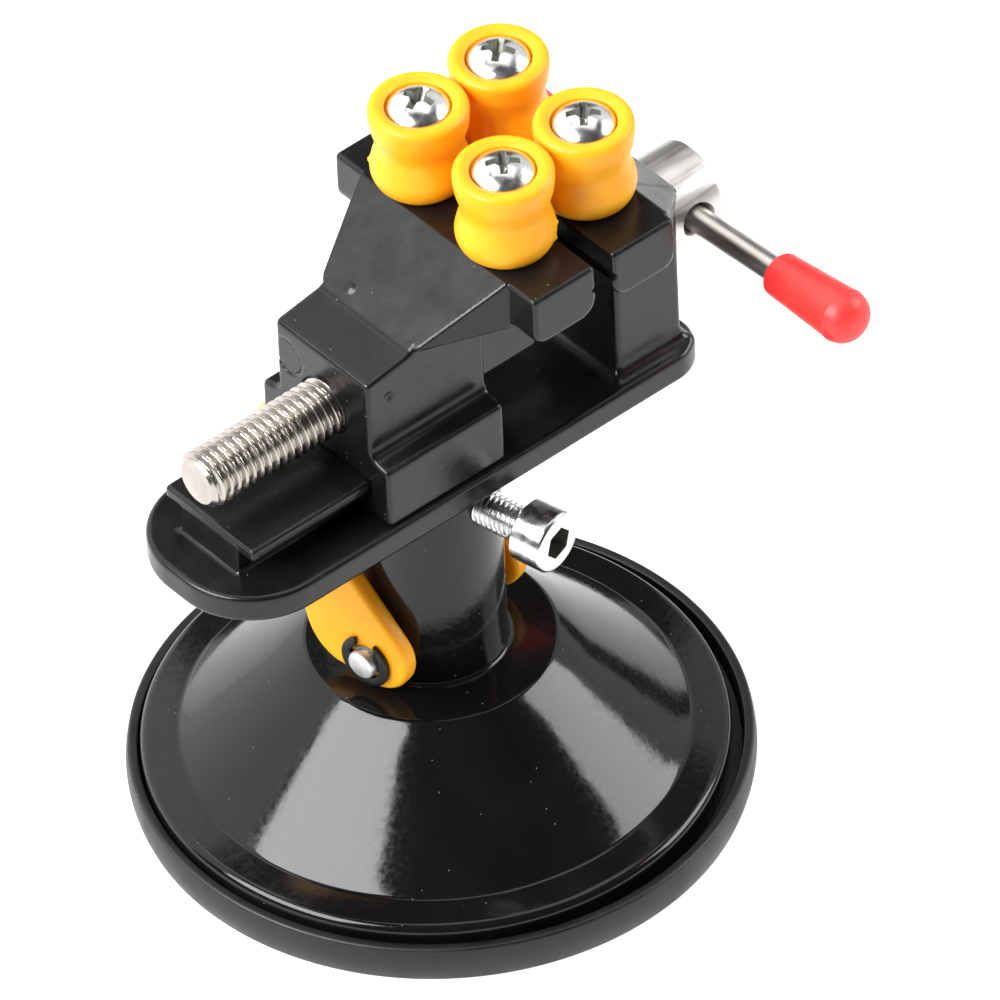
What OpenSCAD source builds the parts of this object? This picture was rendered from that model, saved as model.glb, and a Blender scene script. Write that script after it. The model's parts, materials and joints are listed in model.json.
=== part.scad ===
/* [Suction pad] */
// Diameter of the pad's flat underside
pad_d = 80; // [72:1:100]
// Thickness of the pad's rubber sheet
pad_t = 3; // [2:0.5:4]
// Height of the lip round the dome
pad_lip_h = 5.5; // [4.5:0.5:7]
// Thickness of the lip at its top
pad_lip_t = 1.4; // [1:0.1:2.5]
// How far the pad's wall bulges past its underside
pad_bulge = 0.5; // [0.1:0.1:1.5]
// Gap between the lip and the dome's brim
lip_gap = 0.9; // [0.4:0.1:2]
// How far the soft pad sits off the dome's axis, along the vise
pad_shift_x = 0.6; // [-0.6:0.1:0.6]
// How far the soft pad sits off the dome's axis, across the vise
pad_shift_y = -0.25; // [-0.3:0.05:0.3]
// Diameter of the stem that pulls the pad's middle up
stem_d = 11; // [9:0.5:12]
// Diameter of the stem's foot on the pad
stem_foot_d = 26; // [18:1:34]
// Thickness of the stem's foot
stem_foot_t = 2; // [1:0.5:3]

/* [Dome and column] */
// Height of the brim's top face above the floor
brim_h = 7.6; // [6.6:0.2:9]
// Width of the flat brim
brim_w = 5; // [3:0.5:8]
// Rounding of the brim's outer edge
brim_edge_r = 1.6; // [0.4:0.2:2.4]
// Height of the ledge that the cam presses on
ledge_z = 23.2; // [20:0.2:27]
// Diameter of the ledge
ledge_d = 33; // [30:0.5:40]
// Rounding of the ledge's edge
ledge_edge_r = 0.8; // [0.2:0.1:1.5]
// Wall of the dome
dome_wall = 3; // [2:0.25:4]
// Outer diameter of the column
column_d = 19.8; // [18.5:0.1:22]
// Length of the column above the ledge
column_len = 32.25; // [31:0.25:40]
// Fillet at the foot of the column
column_fillet = 0.8; // [0.2:0.1:1.2]
// Turn of the base under the vise, in degrees
base_yaw = 12; // [0:1:20]

/* [Cam lever] */
// Diameter of the lever's axle
axle_d = 4; // [3:0.25:4.5]
// Thickness of each lever arm
arm_t = 2.6; // [2:0.2:4]
// Gap between the column and each arm
arm_gap = 0.5; // [0.3:0.1:1]
// Height of the axle above the ledge with the lever up
axle_rest = 5.4; // [5:0.1:6]
// Cam radius where the cam starts
cam_start_r = 3.2; // [2.8:0.1:3.4]
// Cam radius with the lever down
cam_end_r = 9; // [8:0.1:9.4]
// Swing of the lever, in degrees
lever_swing = 75; // [65:1:80]
// Lean of the lever at rest, in degrees from upright
lever_lean = 41; // [40:1:46]
// Radius of the lever's rounded heel
heel_r = 5.3; // [4.8:0.1:5.8]
// Distance of the heel's centre from the axle, on the near side
heel_offset = 0.9; // [0.5:0.1:1.4]
// Depth of the heel below the axle
heel_drop = 4.2; // [4:0.1:4.6]
// Length of the lever from its axle to its tip
lever_len = 34; // [30:0.2:34.4]
// Thickness of the web that joins the arms
handle_t = 3; // [2:0.25:3.25]
// Radius of the lever's tip, seen flat
tip_round_r = 28; // [24:1:60]
// Outer diameter of the axle's clips
axle_clip_d = 7.4; // [6:0.2:8]
// Thickness of the clips
clip_t = 0.6; // [0.4:0.1:1]

/* [Lock screw] */
// Diameter of the lock screw's thread
lock_d = 5; // [4:0.5:6]
// Diameter of the lock screw's head
lock_head_d = 8.5; // [7:0.1:10]
// Length of the lock screw's head
lock_head_l = 5; // [4:0.25:6]
// Width across the flats of the lock screw's socket
lock_socket = 4; // [3:0.5:5]
// Distance of the lock screw's axis below the bed
lock_drop = 5.1; // [4.5:0.1:8]
// How far the lock screw's head stands off the column
lock_standoff = 6.6; // [1:0.2:8]

/* [Bed and rail] */
// Width of the bed plate
bed_w = 26; // [25:0.5:34]
// Thickness of the bed plate
bed_t = 4; // [3:0.25:6]
// Corner radius of the bed's long end
bed_left_r = 11.3; // [4:0.1:12]
// Corner radius of the bed's fixed-jaw end
bed_right_r = 5; // [2:0.5:10]
// How far the bed runs past the rail
bed_overhang = 5.8; // [3:0.2:10]
// Width of the rail's flange
rail_w = 17.2; // [14:0.2:18]
// Width of the rail's web
rail_web_w = 11.2; // [8:0.2:12]
// Height of the rail above the bed
rail_h = 5.6; // [4.6:0.1:6]
// Thickness of the rail's flange
rail_flange_t = 1.9; // [1.2:0.1:2.4]
// Diameter of the swivel spigot
spigot_d = 14; // [12:0.5:15]
// Length of the swivel spigot
spigot_len = 17; // [14:0.5:18]
// Depth of the lock screw's groove in the spigot
spigot_groove = 0.8; // [0.4:0.1:1.2]

/* [Jaws] */
// Position of the fixed jaw's clamping face
face_x = 16.75; // [12:0.05:20]
// Gap between the jaws at rest
jaw_gap = 2.95; // [2:0.05:5]
// How far the jaw opens
jaw_travel = 18; // [10:1:24]
// Thickness of the jaw heads, along the vise
head_t = 10.2; // [9:0.2:14]
// Width of the jaw heads
head_w = 38.6; // [34:0.2:46]
// Height of the jaw heads
head_h = 7.6; // [6:0.2:9]
// Height of the jaw heads' top above the bed
head_top = 31.2; // [30:0.2:36]
// Radius of the heads' lower clamping edges
head_edge_r = 2.4; // [1:0.2:3]
// Depth of the grip groove in each clamping face
grip_depth = 0.6; // [0.2:0.1:1]
// Length of the moving jaw's skirt
skirt_len = 19.4; // [16:0.2:24]
// Width of the moving jaw's skirt
skirt_w = 24.4; // [22.8:0.2:25]
// Height of the skirt's shoulder above the bed
skirt_h = 9.2; // [8.4:0.2:10]
// Rise of the skirt's shoulder to the jaw's wall
shoulder_rise = 0.6; // [0:0.1:1]
// Width of the moving jaw above the skirt
jaw_w = 17.8; // [15:0.2:20]
// How far the jaw's neck steps in behind the skirt
neck_step = 0.7; // [0.2:0.1:2]
// Height of the jaw's front edge above the bed
jaw_front_h = 21.8; // [20:0.2:23]
// Length of the jaw's nearly flat front roof
roof_flat = 7.2; // [4:0.2:9]
// Rise of the front roof
roof_rise = 1.2; // [0:0.1:1.6]
// Width of the roof where it meets the head
roof_w = 28.6; // [22:0.2:32]
// Width of the fixed jaw's pillar
pillar_w = 20.8; // [16:0.2:21]
// Thickness of the fixed jaw's pillar
pillar_t = 10.85; // [9:0.05:14]
// How far the pillar stands behind the fixed clamping face
pillar_setback = 7.3; // [6:0.1:9]
// How far the pillar's brackets stay inside the head's ends
bracket_step = 1.2; // [0.4:0.2:4]
// Drop of the pillar's rear edge below the heads' top
pillar_drop = 5.7; // [3:0.1:7]
// Radius of the hollow fillet between pillar and bed
pillar_fillet = 2.3; // [1:0.1:2.4]

/* [Lead screw] */
// Height of the lead screw above the bed
screw_h = 12.8; // [12:0.1:14]
// Outer diameter of the thread
thread_d = 8; // [6:0.5:8]
// Diameter of the plain journal in the fixed jaw
journal_d = 6.4; // [5:0.2:6.6]
// Diameter of the screw's head
screw_head_d = 12.8; // [10:0.1:13]
// Length of the screw's head
screw_head_l = 11.2; // [9:0.2:14]
// Outer diameter of the screw's retaining clip
screw_clip_d = 11; // [9:0.5:12]
// Diameter of the sliding bar
bar_d = 3.5; // [3:0.1:4.6]
// Length of the sliding bar
bar_len = 68; // [60:1:90]
// Distance of the bar from the fixed jaw's rear face
bar_offset = 6.8; // [6:0.1:7.4]
// Tilt of the bar at rest, in degrees
bar_tilt = 4.5; // [0:0.5:10]
// Length of each bar cap
cap_len = 15.2; // [12:0.1:22]
// Diameter of each cap at its mouth
cap_mouth_d = 6; // [5.6:0.1:7]
// Diameter of each cap at its dome
cap_d = 7.2; // [6.2:0.1:7.4]
// Thickness of each cap at its end
cap_end_t = 3.2; // [2:0.1:5]

/* [Pegs] */
// Diameter of a peg's rims
peg_d = 13; // [11:0.1:13.1]
// Diameter of a peg's waist
peg_waist_d = 11.3; // [10:0.1:12.4]
// Height of a peg
peg_h = 12.8; // [10:0.2:16]
// Height of a peg's rims
peg_rim_h = 2.6; // [2:0.1:3.4]
// Distance between the pegs across the vise
peg_pitch = 16.4; // [14:0.2:22]
// Distance of the pegs from the clamping faces
peg_inset = 5.2; // [5.2:0.1:7]
// Diameter of the recess in a peg's top
peg_recess_d = 9; // [8.6:0.1:9.6]
// Depth of the recess in a peg's top
peg_recess = 1.2; // [0.8:0.1:2.4]
// Thread diameter of the peg screws
peg_screw_d = 4; // [3:0.5:4]
// Head diameter of the peg screws
peg_head_d = 8.2; // [7:0.1:8.4]
// Head height of the peg screws
peg_head_h = 2.4; // [1.6:0.1:3.2]
// How deep the peg screws reach into the jaw heads
peg_screw_grip = 5.6; // [4:0.2:6]

/* [Hidden] */
$fn = 96;

black = "#1c1c1d";
amber = "#f7a51d";
zinc = "#c9c9cc";
nickel = "#b9b3a8";
red = "#ec3a38";

// Named clearances
run_fit = 0.05;     // radial, shaft in bore
slide_gap = 0.2;    // jaw on its rail
face_gap = 0.1;     // flat faces that turn on each other
slot_gap = 0.3;     // axle in the column's slots
cam_gap = 0.1;      // cam above the ledge
cut = 1;            // how far a cutting shape runs past a face

// Base
pad_r = pad_d / 2;
lip_r = pad_r + pad_bulge / 2;
dome_r = lip_r - pad_lip_t - lip_gap;
cone_foot_r = dome_r - brim_w;
ledge_r = ledge_d / 2;
column_r = column_d / 2;
column_top = ledge_z + column_len;
bed_bottom = column_top + face_gap;
bed_z = bed_bottom + bed_t;
spigot_bottom = bed_bottom - spigot_len;
spigot_bore_r = spigot_d / 2 + run_fit;
spigot_seat = spigot_bottom - face_gap;
lock_z = bed_bottom - lock_drop;
lock_tip_r = spigot_d / 2 - spigot_groove + face_gap;
groove_h = lock_d + 2 * face_gap;
cam_lift = cam_end_r + cam_gap - axle_rest;
cam_rate = (cam_end_r - cam_start_r) / lever_swing;
axle_z = ledge_z + axle_rest;
axle_r = axle_d / 2;
slot_r = axle_r + slot_gap;
stem_top = axle_z + axle_r + 1.5;
stem_bore_r = stem_d / 2 + slot_gap;
arm_in = column_r + arm_gap;
arm_out = arm_in + arm_t;
clip_in = arm_out + face_gap;
clip_groove_r = axle_r * 0.72;
axle_half = clip_in + clip_t + 0.9;

// Vise, along the bed
pillar_left = face_x + pillar_setback;
pillar_right = pillar_left + pillar_t;
fixed_rear = face_x + head_t;
moving_face = face_x - jaw_gap;
moving_rear = moving_face - head_t;
skirt_right = moving_rear + 0.2;
skirt_left = skirt_right - skirt_len;
rail_left = skirt_left - jaw_travel - 1.3;
bed_left = rail_left - bed_overhang;
bed_right = pillar_right + pillar_fillet;
screw_left = rail_left - 1.6;
neck_right = moving_face - 1;
roof_break = skirt_left + roof_flat;

// Vise, upwards
rail_top = bed_z + rail_h;
flange_bottom = rail_top - rail_flange_t;
head_z = bed_z + head_top;
head_bottom = head_z - head_h;
screw_z = bed_z + screw_h;
boss_r = thread_d / 2 + 2.4;
neck_bottom = screw_z - 1.6;
screw_head_x = pillar_right + face_gap;
bar_x = pillar_right + bar_offset;
thread_right = pillar_left - clip_t - 2 * face_gap - 1.2;
clip_x = pillar_left - face_gap - clip_t;
journal_r = journal_d / 2;
screw_groove_r = journal_r - 0.6;
cap_mouth_s = bar_len / 2 + cap_end_t - cap_len;

peg_x = [moving_face - peg_inset, face_x + peg_inset];
peg_spots = [
    [peg_x[0], -peg_pitch / 2], [peg_x[0], peg_pitch / 2],
    [peg_x[1], -peg_pitch / 2], [peg_x[1], peg_pitch / 2]
];

// Points on a circle, from one angle to another
function arc(c, r, a, b, n = 12) = [
    for (i = [0:n]) let (t = a + (b - a) * i / n) c + r * [cos(t), sin(t)]
];

module in_base() {
    rotate([0, 0, base_yaw]) children();
}

// Stands a profile's axis, drawn upwards, along +X at the given height
module along_x(z) {
    translate([0, 0, z]) rotate([0, 90, 0]) children();
}

// Draws a side view, in x and z, and gives it a width across the vise
module side_slab(w) {
    translate([0, w / 2, 0]) rotate([90, 0, 0]) linear_extrude(w) children();
}

// Draws an end view, in y and z, and runs it along the vise
module end_slab(x0, x1) {
    translate([x0, 0, 0]) rotate([90, 0, 90]) linear_extrude(x1 - x0) children();
}

module suction_pad() {
    color(black) translate([pad_shift_x, pad_shift_y, 0]) rotate_extrude() polygon(concat(
        [[0, 0], [pad_r, 0], [pad_r + pad_bulge, pad_lip_h * 0.5], [lip_r, pad_lip_h]],
        [[lip_r - pad_lip_t, pad_lip_h], [lip_r - pad_lip_t, pad_t], [0, pad_t]]
    ));
}

module pad_stem() {
    color(black) in_base() difference() {
        union() {
            translate([0, 0, pad_t]) cylinder(r = stem_foot_d / 2, h = stem_foot_t);
            translate([0, 0, pad_t]) cylinder(r = stem_d / 2, h = stem_top - pad_t);
        }
        along_x(axle_z) cylinder(r = axle_r + run_fit, h = stem_d + 2 * cut, center = true);
    }
}

// Outline of the dome and column, in radius and height
module dome_outline() {
    inner_foot_r = cone_foot_r - dome_wall;
    polygon(concat(
        [[inner_foot_r, pad_t], [dome_r, pad_t]],
        arc([dome_r - brim_edge_r, brim_h - brim_edge_r], brim_edge_r, 0, 90),
        [[cone_foot_r, brim_h]],
        arc([ledge_r - ledge_edge_r, ledge_z - ledge_edge_r], ledge_edge_r, 45, 90, 4),
        arc([column_r + column_fillet, ledge_z + column_fillet], column_fillet, 270, 180, 6),
        [[column_r, column_top], [spigot_bore_r, column_top], [spigot_bore_r, spigot_seat]],
        [[stem_bore_r, spigot_seat], [stem_bore_r, ledge_z - dome_wall]],
        [[ledge_r - dome_wall, ledge_z - dome_wall]]
    ));
}

module base_dome() {
    slot_len = 2 * column_r + 2 * cut;
    color(black) in_base() difference() {
        rotate_extrude() dome_outline();
        along_x(axle_z) cylinder(r = slot_r, h = slot_len, center = true);
        along_x(axle_z + cam_lift) cylinder(r = slot_r, h = slot_len, center = true);
        translate([-slot_len / 2, -slot_r, axle_z]) cube([slot_len, 2 * slot_r, cam_lift]);
        translate([0, 0, lock_z]) rotate([90, 0, 0]) cylinder(r = lock_d / 2 + run_fit, h = column_r + cut);
    }
}

module lever_axle() {
    color(zinc) in_base() along_x(axle_z) difference() {
        cylinder(r = axle_r, h = 2 * axle_half, center = true);
        for (side = [-1, 1]) clip_place(side) difference() {
            cylinder(r = axle_r + cut, h = clip_t);
            translate([0, 0, -cut]) cylinder(r = clip_groove_r, h = clip_t + 2 * cut);
        }
    }
}

// Moves a clip, drawn from 0 to its thickness, to one end of an axle
module clip_place(side) {
    translate([0, 0, side > 0 ? clip_in : -clip_in - clip_t]) children();
}

// Open ring with three lugs that reach into a shaft's groove
module e_clip(outer_r, shaft_r) {
    band = (outer_r - shaft_r) * 0.55;
    linear_extrude(clip_t) difference() {
        union() {
            difference() {
                circle(r = outer_r);
                circle(r = outer_r - band);
            }
            for (a = [90, 180, 270]) rotate(a) translate([shaft_r + run_fit, -band / 2])
                square([outer_r - band / 2 - shaft_r - run_fit, band]);
        }
        translate([0, -shaft_r]) square([outer_r + cut, 2 * shaft_r]);
    }
}

module axle_clip(side) {
    color(black) in_base() along_x(axle_z) clip_place(side)
        rotate(180) e_clip(axle_clip_d / 2, clip_groove_r);
}

// The lever's side view lies in y (far side) and z from the axle; s runs along it and v across it
function lever_point(s, v) = [
    s * sin(lever_lean) + v * cos(lever_lean),
    s * cos(lever_lean) - v * sin(lever_lean)
];

// The cam touches a flat ledge at a height that grows evenly with the lever's turn
function cam_point(a) = let (k = cam_rate * 180 / PI, h = cam_start_r + cam_rate * a) [
    h * sin(a) + k * cos(a),
    k * sin(a) - h * cos(a)
];

heel_centre = [-heel_offset, heel_r - heel_drop];
near_v = heel_centre[0] * cos(lever_lean) - heel_centre[1] * sin(lever_lean) - heel_r;
web_start = (arm_in + handle_t * cos(lever_lean)) / sin(lever_lean) + 0.8;
back_bend = 19;

module lever_outline() {
    polygon(concat(
        arc(heel_centre, heel_r, 280, 180 - lever_lean, 24),
        [lever_point(12, near_v), lever_point(lever_len - 1.5, -0.4), lever_point(lever_len, 0.8)],
        [lever_point(lever_len, handle_t - 1), lever_point(lever_len - 1.2, handle_t)],
        [lever_point(back_bend, 0.3)],
        [for (i = [24:-1:0]) cam_point(lever_swing * i / 24)]
    ));
}

module lever_web() {
    difference() {
        lever_outline();
        polygon([
            lever_point(-2 * heel_r, -3 * heel_r), lever_point(2 * lever_len, -3 * heel_r),
            lever_point(2 * lever_len, 0), lever_point(lever_len, -0.2),
            lever_point(web_start, 0.4 - handle_t), lever_point(web_start, 3 * heel_r),
            lever_point(-2 * heel_r, 3 * heel_r)
        ]);
    }
}

module cam_lever() {
    color(amber) in_base() translate([0, 0, axle_z]) intersection() {
        difference() {
            union() {
                for (x = [-arm_out, arm_in]) translate([x, 0, 0])
                    rotate([90, 0, 90]) linear_extrude(arm_t) lever_outline();
                translate([-arm_in - cut / 2, 0, 0]) rotate([90, 0, 90])
                    linear_extrude(2 * arm_in + cut) lever_web();
            }
            rotate([0, 90, 0]) cylinder(r = axle_r + run_fit, h = 2 * axle_half, center = true);
        }
        rotate([-lever_lean, 0, 0]) translate([0, 0, lever_len - tip_round_r])
            rotate([90, 0, 0]) cylinder(r = tip_round_r, h = 8 * heel_r, center = true);
    }
}

module lock_screw() {
    head_r0 = column_r + lock_standoff;
    color(zinc) in_base() translate([0, 0, lock_z]) rotate([90, 0, 0]) difference() {
        rotate_extrude() polygon([
            [0, lock_tip_r], [lock_d / 2 - 0.6, lock_tip_r], [lock_d / 2, lock_tip_r + 0.6],
            [lock_d / 2, head_r0], [lock_head_d / 2, head_r0],
            [lock_head_d / 2, head_r0 + lock_head_l - 0.4],
            [lock_head_d / 2 - 0.4, head_r0 + lock_head_l], [0, head_r0 + lock_head_l]
        ]);
        translate([0, 0, head_r0 + lock_head_l / 2])
            cylinder(r = lock_socket / sqrt(3), h = lock_head_l, $fn = 6);
    }
}

// Plan of the bed: a plate with its own corner radius at each end
module bed_plan() {
    half = bed_w / 2;
    straight = bed_right - bed_right_r - bed_left - bed_left_r;
    translate([bed_left + bed_left_r, -half]) square([straight, bed_w]);
    translate([bed_left, bed_left_r - half]) square([bed_left_r + cut, bed_w - 2 * bed_left_r]);
    translate([bed_right - bed_right_r - cut, bed_right_r - half])
        square([bed_right_r + cut, bed_w - 2 * bed_right_r]);
    for (side = [-1, 1]) {
        translate([bed_left + bed_left_r, side * (half - bed_left_r)]) circle(r = bed_left_r);
        translate([bed_right - bed_right_r, side * (half - bed_right_r)]) circle(r = bed_right_r);
    }
}

// Side view of a jaw head: clamping face to the right, rounded below, with a grip groove
module head_outline() {
    grip_z = head_bottom + head_h * 0.5;
    polygon(concat(
        [[-head_t, head_bottom], [-head_t, head_z], [0, head_z], [0, grip_z + grip_depth]],
        [[-grip_depth, grip_z], [0, grip_z - grip_depth]],
        arc([-head_edge_r, head_bottom + head_edge_r], head_edge_r, 0, -90, 8)
    ));
}

module peg_screw_hole(spot) {
    translate([spot[0], spot[1], head_z - peg_screw_grip - 0.4])
        cylinder(r = peg_screw_d / 2 + run_fit, h = head_z);
}

module rail() {
    rail_len = skirt_right - rail_left;
    web_h = rail_h + cut - rail_flange_t / 2;
    translate([rail_left, -rail_web_w / 2, bed_z - cut]) cube([rail_len, rail_web_w, web_h]);
    translate([rail_left, -rail_w / 2, flange_bottom]) cube([rail_len, rail_w, rail_flange_t]);
}

// Pillar with a hollow fillet on its outer three sides
module pillar() {
    half = pillar_w / 2;
    f = pillar_fillet;
    rear_z = head_z - pillar_drop;
    side_slab(pillar_w) polygon([
        [pillar_left, bed_z - cut], [pillar_right, bed_z - cut], [pillar_right, rear_z],
        [fixed_rear, head_z], [fixed_rear - head_t / 2, head_z], [pillar_left, head_bottom]
    ]);
    difference() {
        translate([pillar_left, -half - f, bed_z - cut]) cube([pillar_t + f, pillar_w + 2 * f, f + cut]);
        for (side = [-1, 1]) translate([pillar_left - cut, side * (half + f), bed_z + f])
            rotate([0, 90, 0]) cylinder(r = f, h = pillar_t + 2 * f + 2 * cut);
        translate([pillar_right + f, 0, bed_z + f]) rotate([90, 0, 0])
            cylinder(r = f, h = pillar_w + 4 * f + 2 * cut, center = true);
    }
}

// Brackets that widen the pillar to the fixed head
module head_brackets() {
    half = pillar_w / 2;
    tip = head_w / 2 - bracket_step;
    for (side = [-1, 1]) hull() {
        translate([fixed_rear - 1, side > 0 ? 0 : -tip, head_bottom + 1]) cube([1, tip, head_h - 1.02]);
        translate([pillar_right - 0.5, side > 0 ? 0 : -half + 0.02, head_z - pillar_drop - 0.3])
            cube([0.48, half - 0.02, 0.28]);
        translate([fixed_rear - 1, side > 0 ? 0 : -half + 0.02, head_bottom - 6]) cube([1, half - 0.02, 1]);
    }
}

module vise_bed() {
    color(black) difference() {
        union() {
            translate([0, 0, bed_bottom]) linear_extrude(bed_t) bed_plan();
            rail();
            pillar();
            head_brackets();
            side_slab(head_w) translate([face_x, 0]) mirror([1, 0]) head_outline();
            translate([0, 0, spigot_bottom]) cylinder(r = spigot_d / 2, h = spigot_len + cut);
        }
        along_x(screw_z) cylinder(r = journal_r + run_fit, h = pillar_right + cut);
        translate([0, 0, lock_z - groove_h / 2]) difference() {
            cylinder(r = spigot_d, h = groove_h);
            translate([0, 0, -cut]) cylinder(r = spigot_d / 2 - spigot_groove, h = groove_h + 2 * cut);
        }
        for (i = [2, 3]) peg_screw_hole(peg_spots[i]);
    }
}

// End view of the skirt, open below round the rail
module skirt_outline() {
    half = skirt_w / 2;
    slot = rail_w / 2 + slide_gap;
    web = rail_web_w / 2 + slide_gap;
    roof = rail_top + slide_gap;
    lip = flange_bottom - slide_gap;
    foot = bed_z + face_gap;
    shoulder = bed_z + skirt_h;
    polygon([
        [half, foot], [half, shoulder], [jaw_w / 2, shoulder + shoulder_rise],
        [-jaw_w / 2, shoulder + shoulder_rise], [-half, shoulder], [-half, foot],
        [-web, foot], [-web, lip], [-slot, lip], [-slot, roof],
        [slot, roof], [slot, lip], [web, lip], [web, foot]
    ]);
}

// Wedge that widens the jaw's sloped roof to the head
module roof_flare() {
    low = bed_z + jaw_front_h + roof_rise;
    hull() {
        translate([moving_rear, -roof_w / 2, head_bottom]) cube([cut, roof_w, head_h]);
        translate([roof_break, -jaw_w / 2, low - 0.02]) cube([0.02, jaw_w, 0.02]);
    }
}

module moving_jaw() {
    front_z = bed_z + jaw_front_h;
    color(black) difference() {
        union() {
            end_slab(skirt_left, skirt_right) skirt_outline();
            side_slab(jaw_w) polygon([
                [skirt_left, bed_z + skirt_h], [skirt_left, front_z], [roof_break, front_z + roof_rise],
                [skirt_right, head_z - 0.5], [skirt_right, bed_z + skirt_h]
            ]);
            side_slab(jaw_w - 2 * neck_step) polygon([
                [skirt_right - cut, neck_bottom], [skirt_right - cut, head_z - cut],
                [neck_right, head_z - cut], [neck_right, neck_bottom]
            ]);
            roof_flare();
            along_x(screw_z) translate([0, 0, skirt_left + cut])
                cylinder(r = boss_r, h = neck_right - skirt_left - cut);
            side_slab(head_w) translate([moving_face, 0]) head_outline();
        }
        along_x(screw_z) translate([0, 0, skirt_left - cut])
            cylinder(r = thread_d / 2 + run_fit, h = neck_right - skirt_left + 2 * cut);
        for (i = [0, 1]) peg_screw_hole(peg_spots[i]);
    }
}

module lead_screw() {
    head_r = screw_head_d / 2;
    head_end = screw_head_x + screw_head_l;
    thread_r = thread_d / 2;
    color(nickel) difference() {
        along_x(screw_z) rotate_extrude() polygon([
            [0, screw_left], [thread_r - 1, screw_left], [thread_r, screw_left + 1],
            [thread_r, thread_right], [journal_r, thread_right],
            [journal_r, clip_x], [screw_groove_r, clip_x],
            [screw_groove_r, clip_x + clip_t], [journal_r, clip_x + clip_t],
            [journal_r, screw_head_x], [head_r, screw_head_x],
            [head_r, head_end - 0.8], [head_r - 0.8, head_end], [0, head_end]
        ]);
        bar_frame() cylinder(r = bar_d / 2 + run_fit, h = screw_head_d + 2 * cut, center = true);
    }
}

// Frame of the sliding bar: its +Z runs to the near end
module bar_frame() {
    translate([bar_x, 0, screw_z]) rotate([90 - bar_tilt, 0, 0]) children();
}

module screw_clip() {
    color(black) along_x(screw_z) translate([0, 0, clip_x])
        rotate(180) e_clip(screw_clip_d / 2, screw_groove_r);
}

module tommy_bar() {
    color(nickel) bar_frame() cylinder(r = bar_d / 2, h = bar_len, center = true);
}

module bar_cap() {
    cap_end = bar_len / 2 + cap_end_t;
    cap_r = cap_d / 2;
    color(red) rotate_extrude() polygon(concat(
        [[bar_d / 2 + 0.01, cap_mouth_s], [cap_mouth_d / 2 - 0.4, cap_mouth_s]],
        [[cap_mouth_d / 2, cap_mouth_s + 0.5]],
        arc([0, cap_end - cap_r], cap_r, 0, 90, 12),
        [[0, bar_len / 2 + 0.01], [bar_d / 2 + 0.01, bar_len / 2 + 0.01]]
    ));
}

module bar_cap_near() {
    bar_frame() bar_cap();
}

module bar_cap_far() {
    bar_frame() mirror([0, 0, 1]) bar_cap();
}

// Spool with a hollow side and a dished top
module case_peg(spot) {
    rim_r = peg_d / 2;
    waist_r = peg_waist_d / 2;
    dip = rim_r - waist_r;
    span = peg_h / 2 - peg_rim_h;
    hollow_r = (span * span + dip * dip) / (2 * dip);
    half_angle = asin(span / hollow_r);
    hole_r = peg_screw_d / 2 + 0.2;
    edge = peg_rim_h * 0.5;
    color(amber) translate([spot[0], spot[1], head_z]) rotate_extrude() polygon(concat(
        [[hole_r, 0]],
        arc([rim_r - edge, edge], edge, -90, 0, 6),
        arc([waist_r + hollow_r, peg_h / 2], hollow_r, 180 + half_angle, 180 - half_angle, 12),
        arc([rim_r - edge, peg_h - edge], edge, 0, 90, 6),
        [[peg_recess_d / 2 + 0.4, peg_h]],
        [[peg_recess_d / 2, peg_h - 0.4], [peg_recess_d / 2, peg_h - peg_recess]],
        [[hole_r, peg_h - peg_recess]]
    ));
}

module peg_screw(spot) {
    seat = peg_h - peg_recess;
    head_r = peg_head_d / 2;
    dome_r2 = (head_r * head_r + pow(peg_head_h - 0.6, 2)) / (2 * (peg_head_h - 0.6));
    rim_angle = asin((dome_r2 - peg_head_h + 0.6) / dome_r2);
    slot = 1.1;
    color(zinc) translate([spot[0], spot[1], head_z]) difference() {
        rotate_extrude() polygon(concat(
            [[0, -peg_screw_grip], [peg_screw_d / 2, -peg_screw_grip]],
            [[peg_screw_d / 2, seat], [head_r, seat]],
            arc([0, seat + peg_head_h - dome_r2], dome_r2, rim_angle, 90, 8)
        ));
        for (turn = [0, 90]) rotate(turn) translate([-head_r * 0.55, -slot / 2, seat + peg_head_h * 0.45])
            cube([head_r * 1.1, slot, peg_head_h]);
    }
}

suction_pad();
pad_stem();
base_dome();
lever_axle();
axle_clip(-1);  // axle_clip_near
axle_clip(1);  // axle_clip_far
cam_lever();
lock_screw();
vise_bed();
moving_jaw();
lead_screw();
screw_clip();
tommy_bar();
bar_cap_near();
bar_cap_far();
case_peg(peg_spots[0]);  // case_peg_1
case_peg(peg_spots[1]);  // case_peg_2
case_peg(peg_spots[2]);  // case_peg_3
case_peg(peg_spots[3]);  // case_peg_4
peg_screw(peg_spots[0]);  // peg_screw_1
peg_screw(peg_spots[1]);  // peg_screw_2
peg_screw(peg_spots[2]);  // peg_screw_3
peg_screw(peg_spots[3]);  // peg_screw_4
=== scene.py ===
import json
import math

import bmesh
import bpy
import numpy as np
from mathutils import Matrix, Vector


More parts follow.
